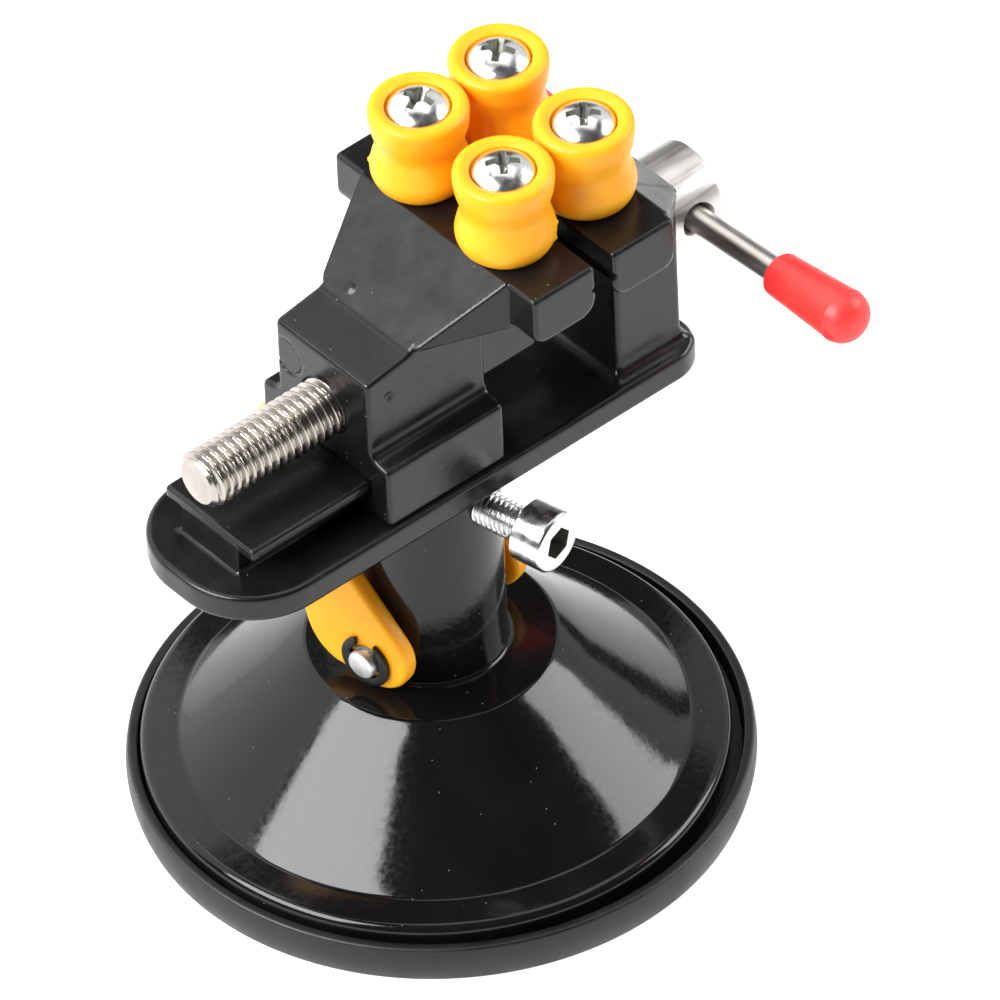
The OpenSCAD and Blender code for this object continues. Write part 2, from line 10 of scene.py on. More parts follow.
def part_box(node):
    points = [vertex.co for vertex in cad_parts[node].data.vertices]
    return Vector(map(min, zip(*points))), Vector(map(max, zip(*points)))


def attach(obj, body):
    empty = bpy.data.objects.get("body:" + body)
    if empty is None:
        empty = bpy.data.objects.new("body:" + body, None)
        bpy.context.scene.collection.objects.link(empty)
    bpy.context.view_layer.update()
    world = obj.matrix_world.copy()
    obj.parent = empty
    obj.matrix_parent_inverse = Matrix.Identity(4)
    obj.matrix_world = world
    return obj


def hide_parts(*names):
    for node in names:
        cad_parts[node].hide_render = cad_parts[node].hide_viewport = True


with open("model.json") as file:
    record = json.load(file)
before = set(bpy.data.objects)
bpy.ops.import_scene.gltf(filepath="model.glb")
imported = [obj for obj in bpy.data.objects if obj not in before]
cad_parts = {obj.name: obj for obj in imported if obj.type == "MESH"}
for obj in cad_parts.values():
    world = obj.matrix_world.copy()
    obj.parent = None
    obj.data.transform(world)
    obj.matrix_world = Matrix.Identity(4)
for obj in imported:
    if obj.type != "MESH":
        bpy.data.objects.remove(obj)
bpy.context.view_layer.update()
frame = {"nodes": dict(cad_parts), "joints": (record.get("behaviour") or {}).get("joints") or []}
cadNodes = frame["nodes"]
joints = {j["name"]: j for j in frame["joints"]}
mm = 0.001
tinyGap = 0.002  # millimetres; points nearer than this become one
flatAngle = 0.003  # radians; faces that turn by less than this become one
tileCells = 8  # grid cells along a tile of a flat face
print("frame loaded:", len(cadNodes), "nodes")


# small helpers for outlines and meshes, all in millimetres

def arcPoints(cx, cy, radius, startDeg, endDeg, steps):
    angles = [math.radians(startDeg + (endDeg - startDeg) * i / steps) for i in range(steps + 1)]
    return [(cx + radius * math.cos(a), cy + radius * math.sin(a)) for a in angles]


def nodeBox(name):
    low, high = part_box(name)
    return low / mm, high / mm


def axisFrame(origin, along, up=(0, 0, 1)):
    # local Z runs along the given direction, local Y as near to up as it can be
    z = Vector(along).normalized()
    x = Vector(up).cross(z).normalized()
    y = z.cross(x)
    turn = Matrix((x, y, z)).transposed().to_4x4()
    return Matrix.Translation(Vector(origin)) @ turn


def turnRows(rows, steps, wobble=None):
    # a turned mesh from rows of (radius, height); a radius may be a function of the angle
    bm = bmesh.new()
    rings = []
    for radius, height in rows:
        if not callable(radius) and radius < 1e-6:
            rings.append([bm.verts.new((0, 0, height))])
            continue
        ring = []
        for j in range(steps):
            a = 2 * math.pi * j / steps
            r = radius(a) if callable(radius) else radius
            if wobble:
                r += wobble(a, r, height)
            ring.append(bm.verts.new((r * math.cos(a), r * math.sin(a), height)))
        rings.append(ring)
    for low, high in zip(rings, rings[1:]):
        if len(low) == 1 and len(high) == 1:
            continue
        for j in range(steps):
            k = (j + 1) % steps
            if len(low) == 1:
                bm.faces.new((low[0], high[k], high[j]))
            elif len(high) == 1:
                bm.faces.new((low[j], low[k], high[0]))
            else:
                bm.faces.new((low[j], low[k], high[k], high[j]))
    return bm


def closeRows(bm):
    # joins the last row of a hollow turned mesh to its first
    bmesh.ops.remove_doubles(bm, verts=bm.verts, dist=1e-5)
    return bm


def loft(lowOutline, highOutline, low, high):
    # a solid between two flat outlines in local X and Y, one at each height
    bm = bmesh.new()
    bottom = [bm.verts.new((x, y, low)) for x, y in lowOutline]
    top = [bm.verts.new((x, y, high)) for x, y in highOutline]
    bm.faces.new(list(reversed(bottom)))
    bm.faces.new(top)
    for j in range(len(bottom)):
        k = (j + 1) % len(bottom)
        bm.faces.new((bottom[j], bottom[k], top[k], top[j]))
    return bm


def rectangle(length, width):
    corners = ((-0.5, -0.5), (0.5, -0.5), (0.5, 0.5), (-0.5, 0.5))
    return [(x * length, y * width) for x, y in corners]


def newObject(name, data):
    obj = bpy.data.objects.new(name, data)
    bpy.context.scene.collection.objects.link(obj)
    return obj


def smoothFaces(bm, sharpDeg):
    # smooth all over, but for the edges that turn by more than the given angle
    for f in bm.faces:
        f.smooth = True
    for e in bm.edges:
        e.smooth = e.calc_face_angle(0) < math.radians(sharpDeg)


def meshObject(name, bm, place=Matrix.Identity(4), sharpDeg=32):
    bm.transform(Matrix.Scale(mm, 4) @ place)
    bmesh.ops.recalc_face_normals(bm, faces=bm.faces)
    smoothFaces(bm, sharpDeg)
    mesh = bpy.data.meshes.new(name)
    bm.to_mesh(mesh)
    bm.free()
    return newObject(name, mesh)


def cutAway(obj, tool, sharpDeg):
    # takes a tool's shape out of a piece at once
    step = obj.modifiers.new("cut", "BOOLEAN")
    step.operation = "DIFFERENCE"
    step.solver = "EXACT"
    step.object = tool
    bpy.context.view_layer.update()
    made = bpy.data.meshes.new_from_object(obj.evaluated_get(bpy.context.evaluated_depsgraph_get()))
    obj.modifiers.clear()
    old = obj.data
    obj.data = made
    bpy.data.meshes.remove(old)
    bpy.data.objects.remove(tool)
    markSharp(obj, sharpDeg)


def tidyFaces(bm, tiny):
    # no doubled points, slivers or points on only two edges, which would leave folded faces behind
    bmesh.ops.remove_doubles(bm, verts=bm.verts, dist=tiny)
    bmesh.ops.dissolve_degenerate(bm, edges=bm.edges, dist=tiny)
    bmesh.ops.dissolve_verts(bm, verts=[v for v in bm.verts if len(v.link_edges) == 2])
    bmesh.ops.triangulate(bm, faces=[f for f in bm.faces if len(f.verts) > 4])


def markSharp(obj, sharpDeg):
    bm = bmesh.new()
    bm.from_mesh(obj.data)
    tidyFaces(bm, tinyGap * mm)
    smoothFaces(bm, sharpDeg)
    bm.to_mesh(obj.data)
    bm.free()


def softenEdges(obj, width, segments, angleDeg):
    # rounds the sharp edges of a flat-sided piece
    joinUp = obj.modifiers.new("join", "WELD")
    joinUp.merge_threshold = 1e-6
    bevel = obj.modifiers.new("edges", "BEVEL")
    bevel.width = width * mm
    bevel.segments = segments
    bevel.limit_method = "ANGLE"
    bevel.angle_limit = math.radians(angleDeg)
    bevel.harden_normals = True
    for f in obj.data.polygons:
        f.use_smooth = True


def finishPiece(obj, body, material, stands=()):
    obj.data.materials.clear()
    obj.data.materials.append(material)
    if obj.name not in cadNodes:
        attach(obj, body)
        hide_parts(*stands)


def moreFinishes(obj, materials, pick):
    # pick gives each face's finish, 0 for the first, from its middle in millimetres and the way it faces
    for material in materials:
        obj.data.materials.append(material)
    for f in obj.data.polygons:
        f.material_index = int(pick(f.center / mm, f.normal))


# cast and moulded shapes are distance fields in millimetres, so edges and inner corners come out rounded

def roundMax(a, b, soft):
    mix = np.maximum(soft - np.abs(a - b), 0) / soft
    return np.maximum(a, b) + mix * mix * soft / 4


def roundMin(a, b, soft):
    return -roundMax(-a, -b, soft)


def span(v, low, high):
    # how far past the nearer of two flat faces
    return np.abs(v - (low + high) / 2) - (high - low) / 2


def block(x, y, z, xs, ys, zs, edge):
    return roundMax(roundMax(span(x, *xs), span(y, *ys), edge), span(z, *zs), edge)


def ballField(x, y, z, middle, radius):
    return np.sqrt((x - middle[0]) ** 2 + (y - middle[1]) ** 2 + (z - middle[2]) ** 2) - radius


def hullPlanes(corners):
    # the flat sides of the solid round these corners: which way each one faces, and how far out it lies
    bm = bmesh.new()
    for c in corners:
        bm.verts.new(c)
    bmesh.ops.convex_hull(bm, input=bm.verts)
    middle = sum((Vector(c) for c in corners), Vector()) / len(corners)
    planes = []
    for f in bm.faces:
        f.normal_update()
        way, level = f.normal.copy(), f.normal.dot(f.verts[0].co)
        if way.dot(middle) > level:
            way, level = -way, -level
        if all(way.dot(other) < 0.9999 for other, _ in planes):
            planes.append((way, level))
    bm.free()
    return planes


def flatSided(x, y, z, planes, radius):
    # a solid with flat sides; each edge is rounded by as much as its two sides turn
    field = facing = None
    for i, (way, level) in enumerate(planes):
        side = way.x * x + way.y * y + way.z * z - level
        if field is None:
            field, facing = side, np.zeros(side.shape, int)
            continue
        turns = np.array([max(1 - way.dot(other), 0.02) for other, _ in planes[:i]])
        soft = radius * turns[facing]
        mix = np.maximum(soft - np.abs(field - side), 0) / soft
        facing = np.where(side > field, i, facing)
        field = np.maximum(field, side) + mix * mix * soft / 4
    return field


def outlineField(u, v, outline):
    # signed distance to a closed flat outline
    nearest = inside = None
    for (u0, v0), (u1, v1) in zip(outline, outline[1:] + outline[:1]):
        du, dv = u1 - u0, v1 - v0
        along = np.clip(((u - u0) * du + (v - v0) * dv) / (du * du + dv * dv), 0, 1)
        gap = (u - u0 - along * du) ** 2 + (v - v0 - along * dv) ** 2
        crossed = ((v0 > v) != (v1 > v)) & (u < u0 + (v - v0) * du / (dv if abs(dv) > 1e-9 else 1e-9))
        nearest = gap if nearest is None else np.minimum(nearest, gap)
        inside = crossed if inside is None else inside ^ crossed
    return np.sqrt(nearest) * np.where(inside, -1, 1)


def fieldSlope(fieldOf, points, reach=0.02):
    slope = np.empty_like(points)
    for axis in range(3):
        ahead, behind = points.copy(), points.copy()
        ahead[:, axis] += reach
        behind[:, axis] -= reach
        slope[:, axis] = (fieldOf(*ahead.T) - fieldOf(*behind.T)) / (2 * reach)
    return slope


def fieldObject(name, fieldOf, low, high, step, place=Matrix.Identity(4)):
    # one point for each grid cell that the surface crosses, then drawn onto the surface
    axes = [np.arange(a - 2 * step, b + 2.5 * step, step) for a, b in zip(low, high)]
    grid = fieldOf(axes[0][:, None, None], axes[1][None, :, None], axes[2][None, None, :])
    solid = grid < 0
    spots, rings = [], []
    for axis in range(3):
        ahead = np.roll(solid, -1, axis)
        crossed = np.argwhere(solid != ahead)
        following = crossed.copy()
        following[:, axis] += 1
        f0, f1 = grid[tuple(crossed.T)], grid[tuple(following.T)]
        spot = crossed.astype(float)
        spot[:, axis] += f0 / (f0 - f1)
        ring = []
        for db, dc in ((-1, -1), (0, -1), (0, 0), (-1, 0)):
            cell = crossed.copy()
            cell[:, (axis + 1) % 3] += db
            cell[:, (axis + 2) % 3] += dc
            ring.append(np.ravel_multi_index(cell.T, grid.shape))
        ring = np.stack(ring, 1)
        inward = ~solid[tuple(crossed.T)]
        ring[inward] = ring[inward][:, ::-1]
        rings.append(ring)
        spots.append(np.repeat(spot, 4, 0))
    corners = np.unique(np.concatenate(rings).ravel(), return_inverse=True)[1]
    spots = np.concatenate(spots)
    count = np.bincount(corners)
    points = np.stack([np.bincount(corners, spots[:, a]) / count * step + axes[a][0] for a in range(3)], 1)
    for _ in range(4):
        slope = fieldSlope(fieldOf, points)
        shift = fieldOf(*points.T) / np.maximum((slope ** 2).sum(1), 0.05)
        points -= slope * np.clip(shift, -step, step)[:, None]
    mesh = bpy.data.meshes.new(name)
    mesh.from_pydata(points.tolist(), [], corners.reshape(-1, 4).tolist())
    # the flats need few faces; they are joined tile by tile, and the rounded edges keep theirs
    bm = bmesh.new()
    bm.from_mesh(mesh)
    fullArea = sum(f.calc_area() for f in bm.faces)
    for f in bm.faces:
        tile = [math.floor(v / (tileCells * step)) % 2 for v in f.calc_center_median()]
        f.material_index = tile[0] + 2 * tile[1] + 4 * tile[2]
    bmesh.ops.dissolve_limit(
        bm, angle_limit=flatAngle, verts=bm.verts, edges=bm.edges,
        use_dissolve_boundaries=False, delimit={"MATERIAL"},
    )
    tidyFaces(bm, tinyGap)
    keptArea = sum(f.calc_area() for f in bm.faces)
    for f in bm.faces:
        f.material_index = 0
    bm.to_mesh(mesh)
    bm.free()
    kept = np.empty(len(mesh.vertices) * 3)
    mesh.vertices.foreach_get("co", kept)
    normals = fieldSlope(fieldOf, kept.reshape(-1, 3))
    normals /= np.linalg.norm(normals, axis=1)[:, None]
    mesh.polygons.foreach_set("use_smooth", [True] * len(mesh.polygons))
    turn = place.to_3x3()
    mesh.transform(Matrix.Scale(mm, 4) @ place)
    mesh.normals_split_custom_set_from_vertices([turn @ Vector(n) for n in normals])
    print(name, "mesh:", len(mesh.vertices), "points, area kept", round(keptArea / fullArea, 4))
    return newObject(name, mesh)


# finishes

def finish(name, look):
    # one procedural finish: mottled colour, uneven gloss, fine bump and settled dust
    mat = bpy.data.materials.new(name)
    mat.use_nodes = True
    tree = mat.node_tree
    shader = tree.nodes["Principled BSDF"]
    links = tree.links
    place = tree.nodes.new("ShaderNodeTexCoord")

    def noise(scale, detail=3.0, stretch=None):
        n = tree.nodes.new("ShaderNodeTexNoise")
        n.inputs["Scale"].default_value = scale
        n.inputs["Detail"].default_value = detail
        if stretch:
            squeeze = tree.nodes.new("ShaderNodeMapping")
            squeeze.inputs["Scale"].default_value = stretch
            links.new(place.outputs["Object"], squeeze.inputs["Vector"])
            links.new(squeeze.outputs["Vector"], n.inputs["Vector"])
        else:
            links.new(place.outputs["Object"], n.inputs["Vector"])
        return n

    def ramp(source, low, high, lowColour, highColour):
        r = tree.nodes.new("ShaderNodeValToRGB")
        r.color_ramp.elements[0].position = low
        r.color_ramp.elements[1].position = high
        r.color_ramp.elements[0].color = (*lowColour, 1)
        r.color_ramp.elements[1].color = (*highColour, 1)
        links.new(source, r.inputs["Fac"])
        return r

    def maths(operation, source, other):
        # other is a number or a node's output
        m = tree.nodes.new("ShaderNodeMath")
        m.operation = operation
        links.new(source, m.inputs[0])
        if isinstance(other, float):
            m.inputs[1].default_value = other
        else:
            links.new(other, m.inputs[1])
        return m.outputs["Value"]

    tone = noise(look["mottleScale"], 4.0)
    colour = ramp(tone.outputs["Fac"], 0.3, 0.7, look["dark"], look["light"]).outputs["Color"]
    gloss = noise(look["glossScale"], 3.0, look.get("glossStretch"))
    spread = tree.nodes.new("ShaderNodeMapRange")
    spread.inputs["From Min"].default_value = 0.3
    spread.inputs["From Max"].default_value = 0.7
    spread.inputs["To Min"].default_value = look["roughness"][0]
    spread.inputs["To Max"].default_value = look["roughness"][1]
    links.new(gloss.outputs["Fac"], spread.inputs["Value"])
    roughness = spread.outputs["Result"]

    if "dustScale" in look:
        specks = tree.nodes.new("ShaderNodeTexVoronoi")
        specks.inputs["Scale"].default_value = look["dustScale"]
        links.new(place.outputs["Object"], specks.inputs["Vector"])
        near = maths("LESS_THAN", specks.outputs["Distance"], look["dustSize"])
        cellPick = tree.nodes.new("ShaderNodeSeparateColor")
        links.new(specks.outputs["Color"], cellPick.inputs["Color"])
        few = maths("LESS_THAN", cellPick.outputs["Red"], look["dustShare"])
        dust = maths("MULTIPLY", near, few)
        dusted = tree.nodes.new("ShaderNodeMix")
        dusted.data_type = "RGBA"
        dusted.inputs["B"].default_value = (*look["dustColour"], 1)
        links.new(dust, dusted.inputs["Factor"])
        links.new(colour, dusted.inputs["A"])
        colour = dusted.outputs["Result"]
        roughness = maths("MAXIMUM", roughness, dust)

    links.new(colour, shader.inputs["Base Color"])
    links.new(roughness, shader.inputs["Roughness"])
    grain = noise(look["grainScale"], look.get("grainDetail", 2.0), look.get("grainStretch"))
    bump = tree.nodes.new("ShaderNodeBump")
    bump.inputs["Strength"].default_value = look["grainStrength"]
    bump.inputs["Distance"].default_value = look["grainDepth"] * mm
    links.new(grain.outputs["Fac"], bump.inputs["Height"])
    links.new(bump.outputs["Normal"], shader.inputs["Normal"])
    for socket, value in look.get("sockets", {}).items():
        shader.inputs[socket].default_value = value
    return mat


castingLook = {
    "dark": (0.0042, 0.0042, 0.0046), "light": (0.0074, 0.0074, 0.0079), "mottleScale": 160,
    "roughness": (0.19, 0.30), "glossScale": 240,
    "grainScale": 700, "grainDetail": 4.0, "grainStrength": 0.28, "grainDepth": 0.08,
    "dustScale": 700, "dustSize": 0.065, "dustShare": 0.20, "dustColour": (0.17, 0.17, 0.17),
    "sockets": {"Specular IOR Level": 0.38},
}
domeLook = {
    "dark": (0.0034, 0.0034, 0.0038), "light": (0.006, 0.006, 0.0065), "mottleScale": 120,
    "roughness": (0.07, 0.15), "glossScale": 1400,
    "grainScale": 220, "grainDetail": 6.0, "grainStrength": 0.6, "grainDepth": 0.05,
    "dustScale": 760, "dustSize": 0.065, "dustShare": 0.26, "dustColour": (0.18, 0.18, 0.185),
    "sockets": {"Specular IOR Level": 0.36},
}
rubberLook = {
    "dark": (0.002, 0.002, 0.0022), "light": (0.0048, 0.0048, 0.0052), "mottleScale": 210,
    "roughness": (0.36, 0.50), "glossScale": 190,
    "grainScale": 2600, "grainStrength": 0.18, "grainDepth": 0.05,
    "dustScale": 560, "dustSize": 0.065, "dustShare": 0.22, "dustColour": (0.14, 0.14, 0.14),
    "sockets": {"Specular IOR Level": 0.48},
}
nylonLook = {
    "dark": (0.95, 0.385, 0.005), "light": (1.0, 0.435, 0.009), "mottleScale": 260,
    "roughness": (0.34, 0.46), "glossScale": 420,
    "grainScale": 2200, "grainStrength": 0.12, "grainDepth": 0.04,
    "sockets": {
        "Subsurface Weight": 0.5, "Subsurface Radius": (0.0032, 0.0016, 0.0004), "Subsurface Scale": 1.0,
        "Specular IOR Level": 0.35,
    },
}
zincLook = {
    "dark": (0.60, 0.605, 0.61), "light": (0.75, 0.755, 0.76), "mottleScale": 500,
    "roughness": (0.17, 0.30), "glossScale": 900,
    "grainScale": 1800, "grainStrength": 0.14, "grainDepth": 0.03,
    "sockets": {"Metallic": 1.0},
}
# painted shade: the walls of each screw's cross are darker and rougher zinc, partly the duller plating in the
# recess and partly painted shade
crossShadeLook = dict(zincLook, dark=(0.33, 0.34, 0.305), light=(0.46, 0.47, 0.43), roughness=(0.58, 0.72))
axleLook = dict(zincLook, roughness=(0.40, 0.55), grainStrength=0.3)
# painted shade: a dark olive zinc for the inside of the hex socket and the floor of each cross
socketShadeLook = dict(zincLook, dark=(0.22, 0.22, 0.19), light=(0.36, 0.355, 0.31), roughness=(0.30, 0.45))
threadLook = {
    "dark": (0.43, 0.395, 0.355), "light": (0.55, 0.51, 0.465), "mottleScale": 320,
    "roughness": (0.19, 0.30), "glossScale": 700,
    "grainScale": 1500, "grainStrength": 0.08, "grainDepth": 0.03,
    "sockets": {"Metallic": 1.0},
}
# the head and the bar are ground along their length
headLook = {
    "dark": (0.59, 0.57, 0.545), "light": (0.71, 0.69, 0.66), "mottleScale": 320,
    "roughness": (0.28, 0.42), "glossScale": 2400, "glossStretch": (0.05, 1, 1),
    "grainScale": 3000, "grainStretch": (0.04, 1, 1), "grainStrength": 0.3, "grainDepth": 0.02,
    "sockets": {"Metallic": 1.0},
}
barLook = dict(
    headLook, dark=(0.54, 0.51, 0.48), light=(0.66, 0.63, 0.60),
    glossStretch=(1, 0.05, 1), grainStretch=(1, 0.04, 1),
)
clipLook = {
    "dark": (0.010, 0.010, 0.011), "light": (0.022, 0.022, 0.024), "mottleScale": 600,
    "roughness": (0.30, 0.45), "glossScale": 800,
    "grainScale": 2600, "grainStrength": 0.15, "grainDepth": 0.03,
    "sockets": {"Metallic": 0.6},
}
vinylLook = {
    "dark": (0.80, 0.026, 0.024), "light": (0.90, 0.044, 0.040), "mottleScale": 220,
    "roughness": (0.36, 0.50), "glossScale": 300,
    "grainScale": 1400, "grainStrength": 0.10, "grainDepth": 0.05,
    "sockets": {
        "Subsurface Weight": 0.22, "Subsurface Radius": (0.002, 0.0004, 0.0003), "Subsurface Scale": 1.0,
    },
}
castingBlack = finish("castingBlack", castingLook)
domeBlack = finish("domeBlack", domeLook)
padRubber = finish("padRubber", rubberLook)
nylonAmber = finish("nylonAmber", nylonLook)
zincPlate = finish("zincPlate", zincLook)
zincCrossShade = finish("zincCrossShade", crossShadeLook)
zincSocketShade = finish("zincSocketShade", socketShadeLook)
zincAxle = finish("zincAxle", axleLook)
nickelThread = finish("nickelThread", threadLook)
nickelHead = finish("nickelHead", headLook)
nickelBar = finish("nickelBar", barLook)
clipBlack = finish("clipBlack", clipLook)
vinylRed = finish("vinylRed", vinylLook)
print("finishes made")


# suction pad

pad = {
    "radius": 40, "footRound": 0.5, "bulge": 0.5, "bulgeHeight": 4.3, "sheet": 3, "sheetRound": 0.4,
    "lipRadius": 40.25, "lipHeight": 5.5, "lipWidth": 1.4, "lipRound": 0.45, "innerRound": 0.3,
    "shift": (0.6, -0.25), "steps": 200,
}


def makePad():
    r, foot, sheet, lipTop = pad["radius"], pad["footRound"], pad["sheet"], pad["lipHeight"]
    inner = pad["lipRadius"] - pad["lipWidth"]
    rows = [(0, 0), (r - foot, 0), (r - 0.2 * foot, 0.36 * foot), (r, foot)]
    for t in range(1, 10):
        out = pad["bulge"] * math.sin(math.pi * t / 12) ** 0.8
        rows.append((r + out, foot + pad["bulgeHeight"] * t / 10))
    edge = pad["lipRound"]
    rows += arcPoints(pad["lipRadius"] - edge, lipTop - edge, edge, 10, 90, 5)
    edge = pad["innerRound"]
    rows += arcPoints(inner + edge, lipTop - edge, edge, 90, 180, 4)
    rows += [(inner, sheet + pad["sheetRound"]), (inner - edge, sheet), (0, sheet)]
    place = Matrix.Translation((*pad["shift"], 0))
    obj = meshObject("rubberPad", turnRows(rows, pad["steps"]), place, sharpDeg=50)
    finishPiece(obj, "base", padRubber, ["suction_pad"])


makePad()


# dome and column

baseTurn = Vector(joints["lock_screw_turn"]["axis"])  # the lock screw's way out, on the near side
axleWay = Vector(joints["lever_turn"]["axis"]) * -1
axleHeight = joints["lever_turn"]["pos_m"][2] / mm
liftTravel = joints["axle_lift"]["range_m"][1] / mm
lockHeight = joints["lock_screw_turn"]["pos_m"][2] / mm
dome = {
    "brimRadius": 37.95, "brimTop": 7.6, "brimFall": 0.25, "brimWidth": 5, "brimEdge": 1.3, "brimFoot": 0.3,
    "footCurve": 0.35, "ledgeTop": 23.2, "ledgeRadius": 16.5, "ledgeRound": 0.9, "ledgeIn": 0.55,
    "columnRadius": 9.9, "columnFillet": 0.8, "columnEdge": 0.4, "wall": 3,
    "spigotBore": 7.05, "boreEdge": 0.3, "spigotSeat": 38.45, "stemBore": 5.8,
    "slotRadius": 2.3, "lockBore": 2.55, "steps": 200,
}


def makeDome():
    low, high = nodeBox("base_dome")
    brim, brimTop, ledgeTop = dome["brimRadius"], dome["brimTop"], dome["ledgeTop"]
    ledge, column, wall = dome["ledgeRadius"], dome["columnRadius"], dome["wall"]
    foot = brim - dome["brimWidth"]
    rows = [(foot - wall, low.z), (brim - dome["brimFoot"], low.z), (brim, low.z + dome["brimFoot"])]
    edge, curve = dome["brimEdge"], dome["footCurve"]
    fallDeg = math.degrees(math.atan(dome["brimFall"] / (dome["brimWidth"] - curve - edge)))
    rows += arcPoints(brim - edge, brimTop - dome["brimFall"] - edge, edge, 0, 90 - fallDeg, 8)
    rows += [(foot + curve, brimTop)]
    # the brim turns up into the cone through a tight hollow curve
    rise = (ledgeTop - brimTop) / (foot - ledge)
    for t in (0.25, 0.5, 0.75, 1.0):
        rows.append((foot + curve - 2 * curve * t, brimTop + curve * rise * t * t))
    slant = foot - curve - ledge - dome["ledgeIn"]
    for t in range(1, 10):
        rows.append((foot - curve - slant * t / 10, brimTop + rise * (curve + slant * t / 10)))
    rows += arcPoints(ledge - dome["ledgeIn"], ledgeTop - dome["ledgeRound"], dome["ledgeRound"], 48, 90, 5)
    fillet = dome["columnFillet"]
    rows += arcPoints(column + fillet, ledgeTop + fillet, fillet, 270, 180, 6)
    rows += [(column, ledgeTop + 6), (column, high.z - 6)]
    rows += [(column, high.z - dome["columnEdge"]), (column - dome["columnEdge"], high.z)]
    bore, edge = dome["spigotBore"], dome["boreEdge"]
    rows += [(bore + edge, high.z), (bore, high.z - edge), (bore, dome["spigotSeat"])]
    roof = ledgeTop - wall
    rows += [(dome["stemBore"], dome["spigotSeat"]), (dome["stemBore"], roof), (ledge - wall, roof), rows[0]]
    obj = meshObject("domeShell", closeRows(turnRows(rows, dome["steps"])), sharpDeg=38)
    reach = 2 * column
    slotOutline = arcPoints(0, axleHeight, dome["slotRadius"], 180, 360, 16)
    slotOutline += arcPoints(0, axleHeight + liftTravel, dome["slotRadius"], 0, 180, 16)
    tool = loft(slotOutline, slotOutline, -reach, reach)
    cutAway(obj, meshObject("slotTool", tool, axisFrame((0, 0, 0), axleWay)), sharpDeg=38)
    boreRows = [(0, 0), (dome["lockBore"], 0), (dome["lockBore"], reach), (0, reach)]
    lockPlace = axisFrame((0, 0, lockHeight), baseTurn)
    cutAway(obj, meshObject("lockTool", turnRows(boreRows, 32), lockPlace), sharpDeg=38)
    finishPiece(obj, "base", domeBlack, ["base_dome"])


makeDome()
print("base made")


# castings: the bed with its fixed jaw, and the moving jaw

jawHead = {
    "thick": 10.2, "half": 19.3, "bottom": 83.15, "top": 90.75, "clampEdge": 2.8, "rearCorner": 2.2,
    "edge": 0.65, "grip": 0.6, "gripEdge": 0.25, "pegY": 8.2, "pegBore": 2.05, "pegDepth": 6,
}
bedCast = {
    "left": -40.7, "right": 37.2, "half": 13, "leftCorner": 11.3, "rightCorner": 5,
    "bottom": 55.55, "top": 59.55, "railLeft": -34.9, "railRight": 3.8, "railTop": 65.15, "railCove": 0.9,
    "flangeHalf": 8.6, "flangeBottom": 63.25, "flangeEdge": 0.55, "webHalf": 5.6, "webEdge": 0.4,
    "pillarLeft": 24.05, "pillarRight": 34.9, "pillarHalf": 10.4, "pillarRear": 85.05, "pillarEdge": 0.9,
    "cove": 2.5, "face": 16.75, "bracketHalf": 18.1, "bracketFoot": 77.15, "bracketEdge": 0.8,
    "journal": 3.25, "pegX": 21.95, "spigot": 7, "spigotBottom": 38.55, "spigotEdge": 0.6,
    "grooveRadius": 6.2, "grooveHalf": 2.6, "join": 0.3, "edge": 0.8, "step": 0.35,
}
jawCast = {
    "front": -15.6, "rear": 3.8, "skirtHalf": 12.2, "foot": 59.65, "footEdge": 0.5,
    "shoulder": 68.75, "shoulderRise": 0.6, "wallHalf": 8.9, "cove": 1.7,
    "slotHalf": 8.8, "slotWeb": 5.8, "slotRoof": 65.35, "slotLip": 63.05,
    "frontTop": 81.35, "breakX": -8.4, "breakZ": 82.55, "breakSoft": 0.2,
    "headRear": 3.6, "flareHalf": 14.3, "flareEdge": 0.5, "face": 13.8, "pegX": 8.6,
    "neckEnd": 12.8, "neckHalf": 8.2, "neckBottom": 70.75, "neckEdge": 0.6,
    "boss": 6.4, "bossEdge": 0.8, "bore": 4.05, "boreEdge": 0.35,
    "nub": (-5.8, 4.65, 82.68), "nubRadius": 1.5, "nubJoin": 0.15,
    "pit": (-12.1, -9.35, 77.8), "pitRadius": 0.7, "pitEdge": 0.4,
    "pinMark": (6.6, 76.5, 2.7), "markOut": 0.18, "markTilt": 0.14, "markGroove": 0.33, "markEdge": 0.12,
    "join": 0.3, "edge": 0.75, "step": 0.3,
}
screwHeight = joints["screw_turn"]["pos_m"][2] / mm


def headField(behind, y, z, pegBehind):
    # a jaw's head; behind is measured from its clamping face
    below = jawHead["bottom"] - z
    front = roundMax(-behind, below, jawHead["clampEdge"])
    rear = roundMax(behind - jawHead["thick"], below, jawHead["rearCorner"])
    head = roundMax(np.maximum(front, rear), z - jawHead["top"], jawHead["edge"])
    head = roundMax(head, np.abs(y) - jawHead["half"], jawHead["edge"])
    middle = (jawHead["bottom"] + jawHead["top"]) / 2
    groove = (np.abs(z - middle) + behind - jawHead["grip"]) / math.sqrt(2)
    head = roundMax(head, -groove, jawHead["gripEdge"])
    hole = np.hypot(behind - pegBehind, np.abs(y) - jawHead["pegY"]) - jawHead["pegBore"]
    return np.maximum(head, -np.maximum(hole, jawHead["top"] - jawHead["pegDepth"] - z))


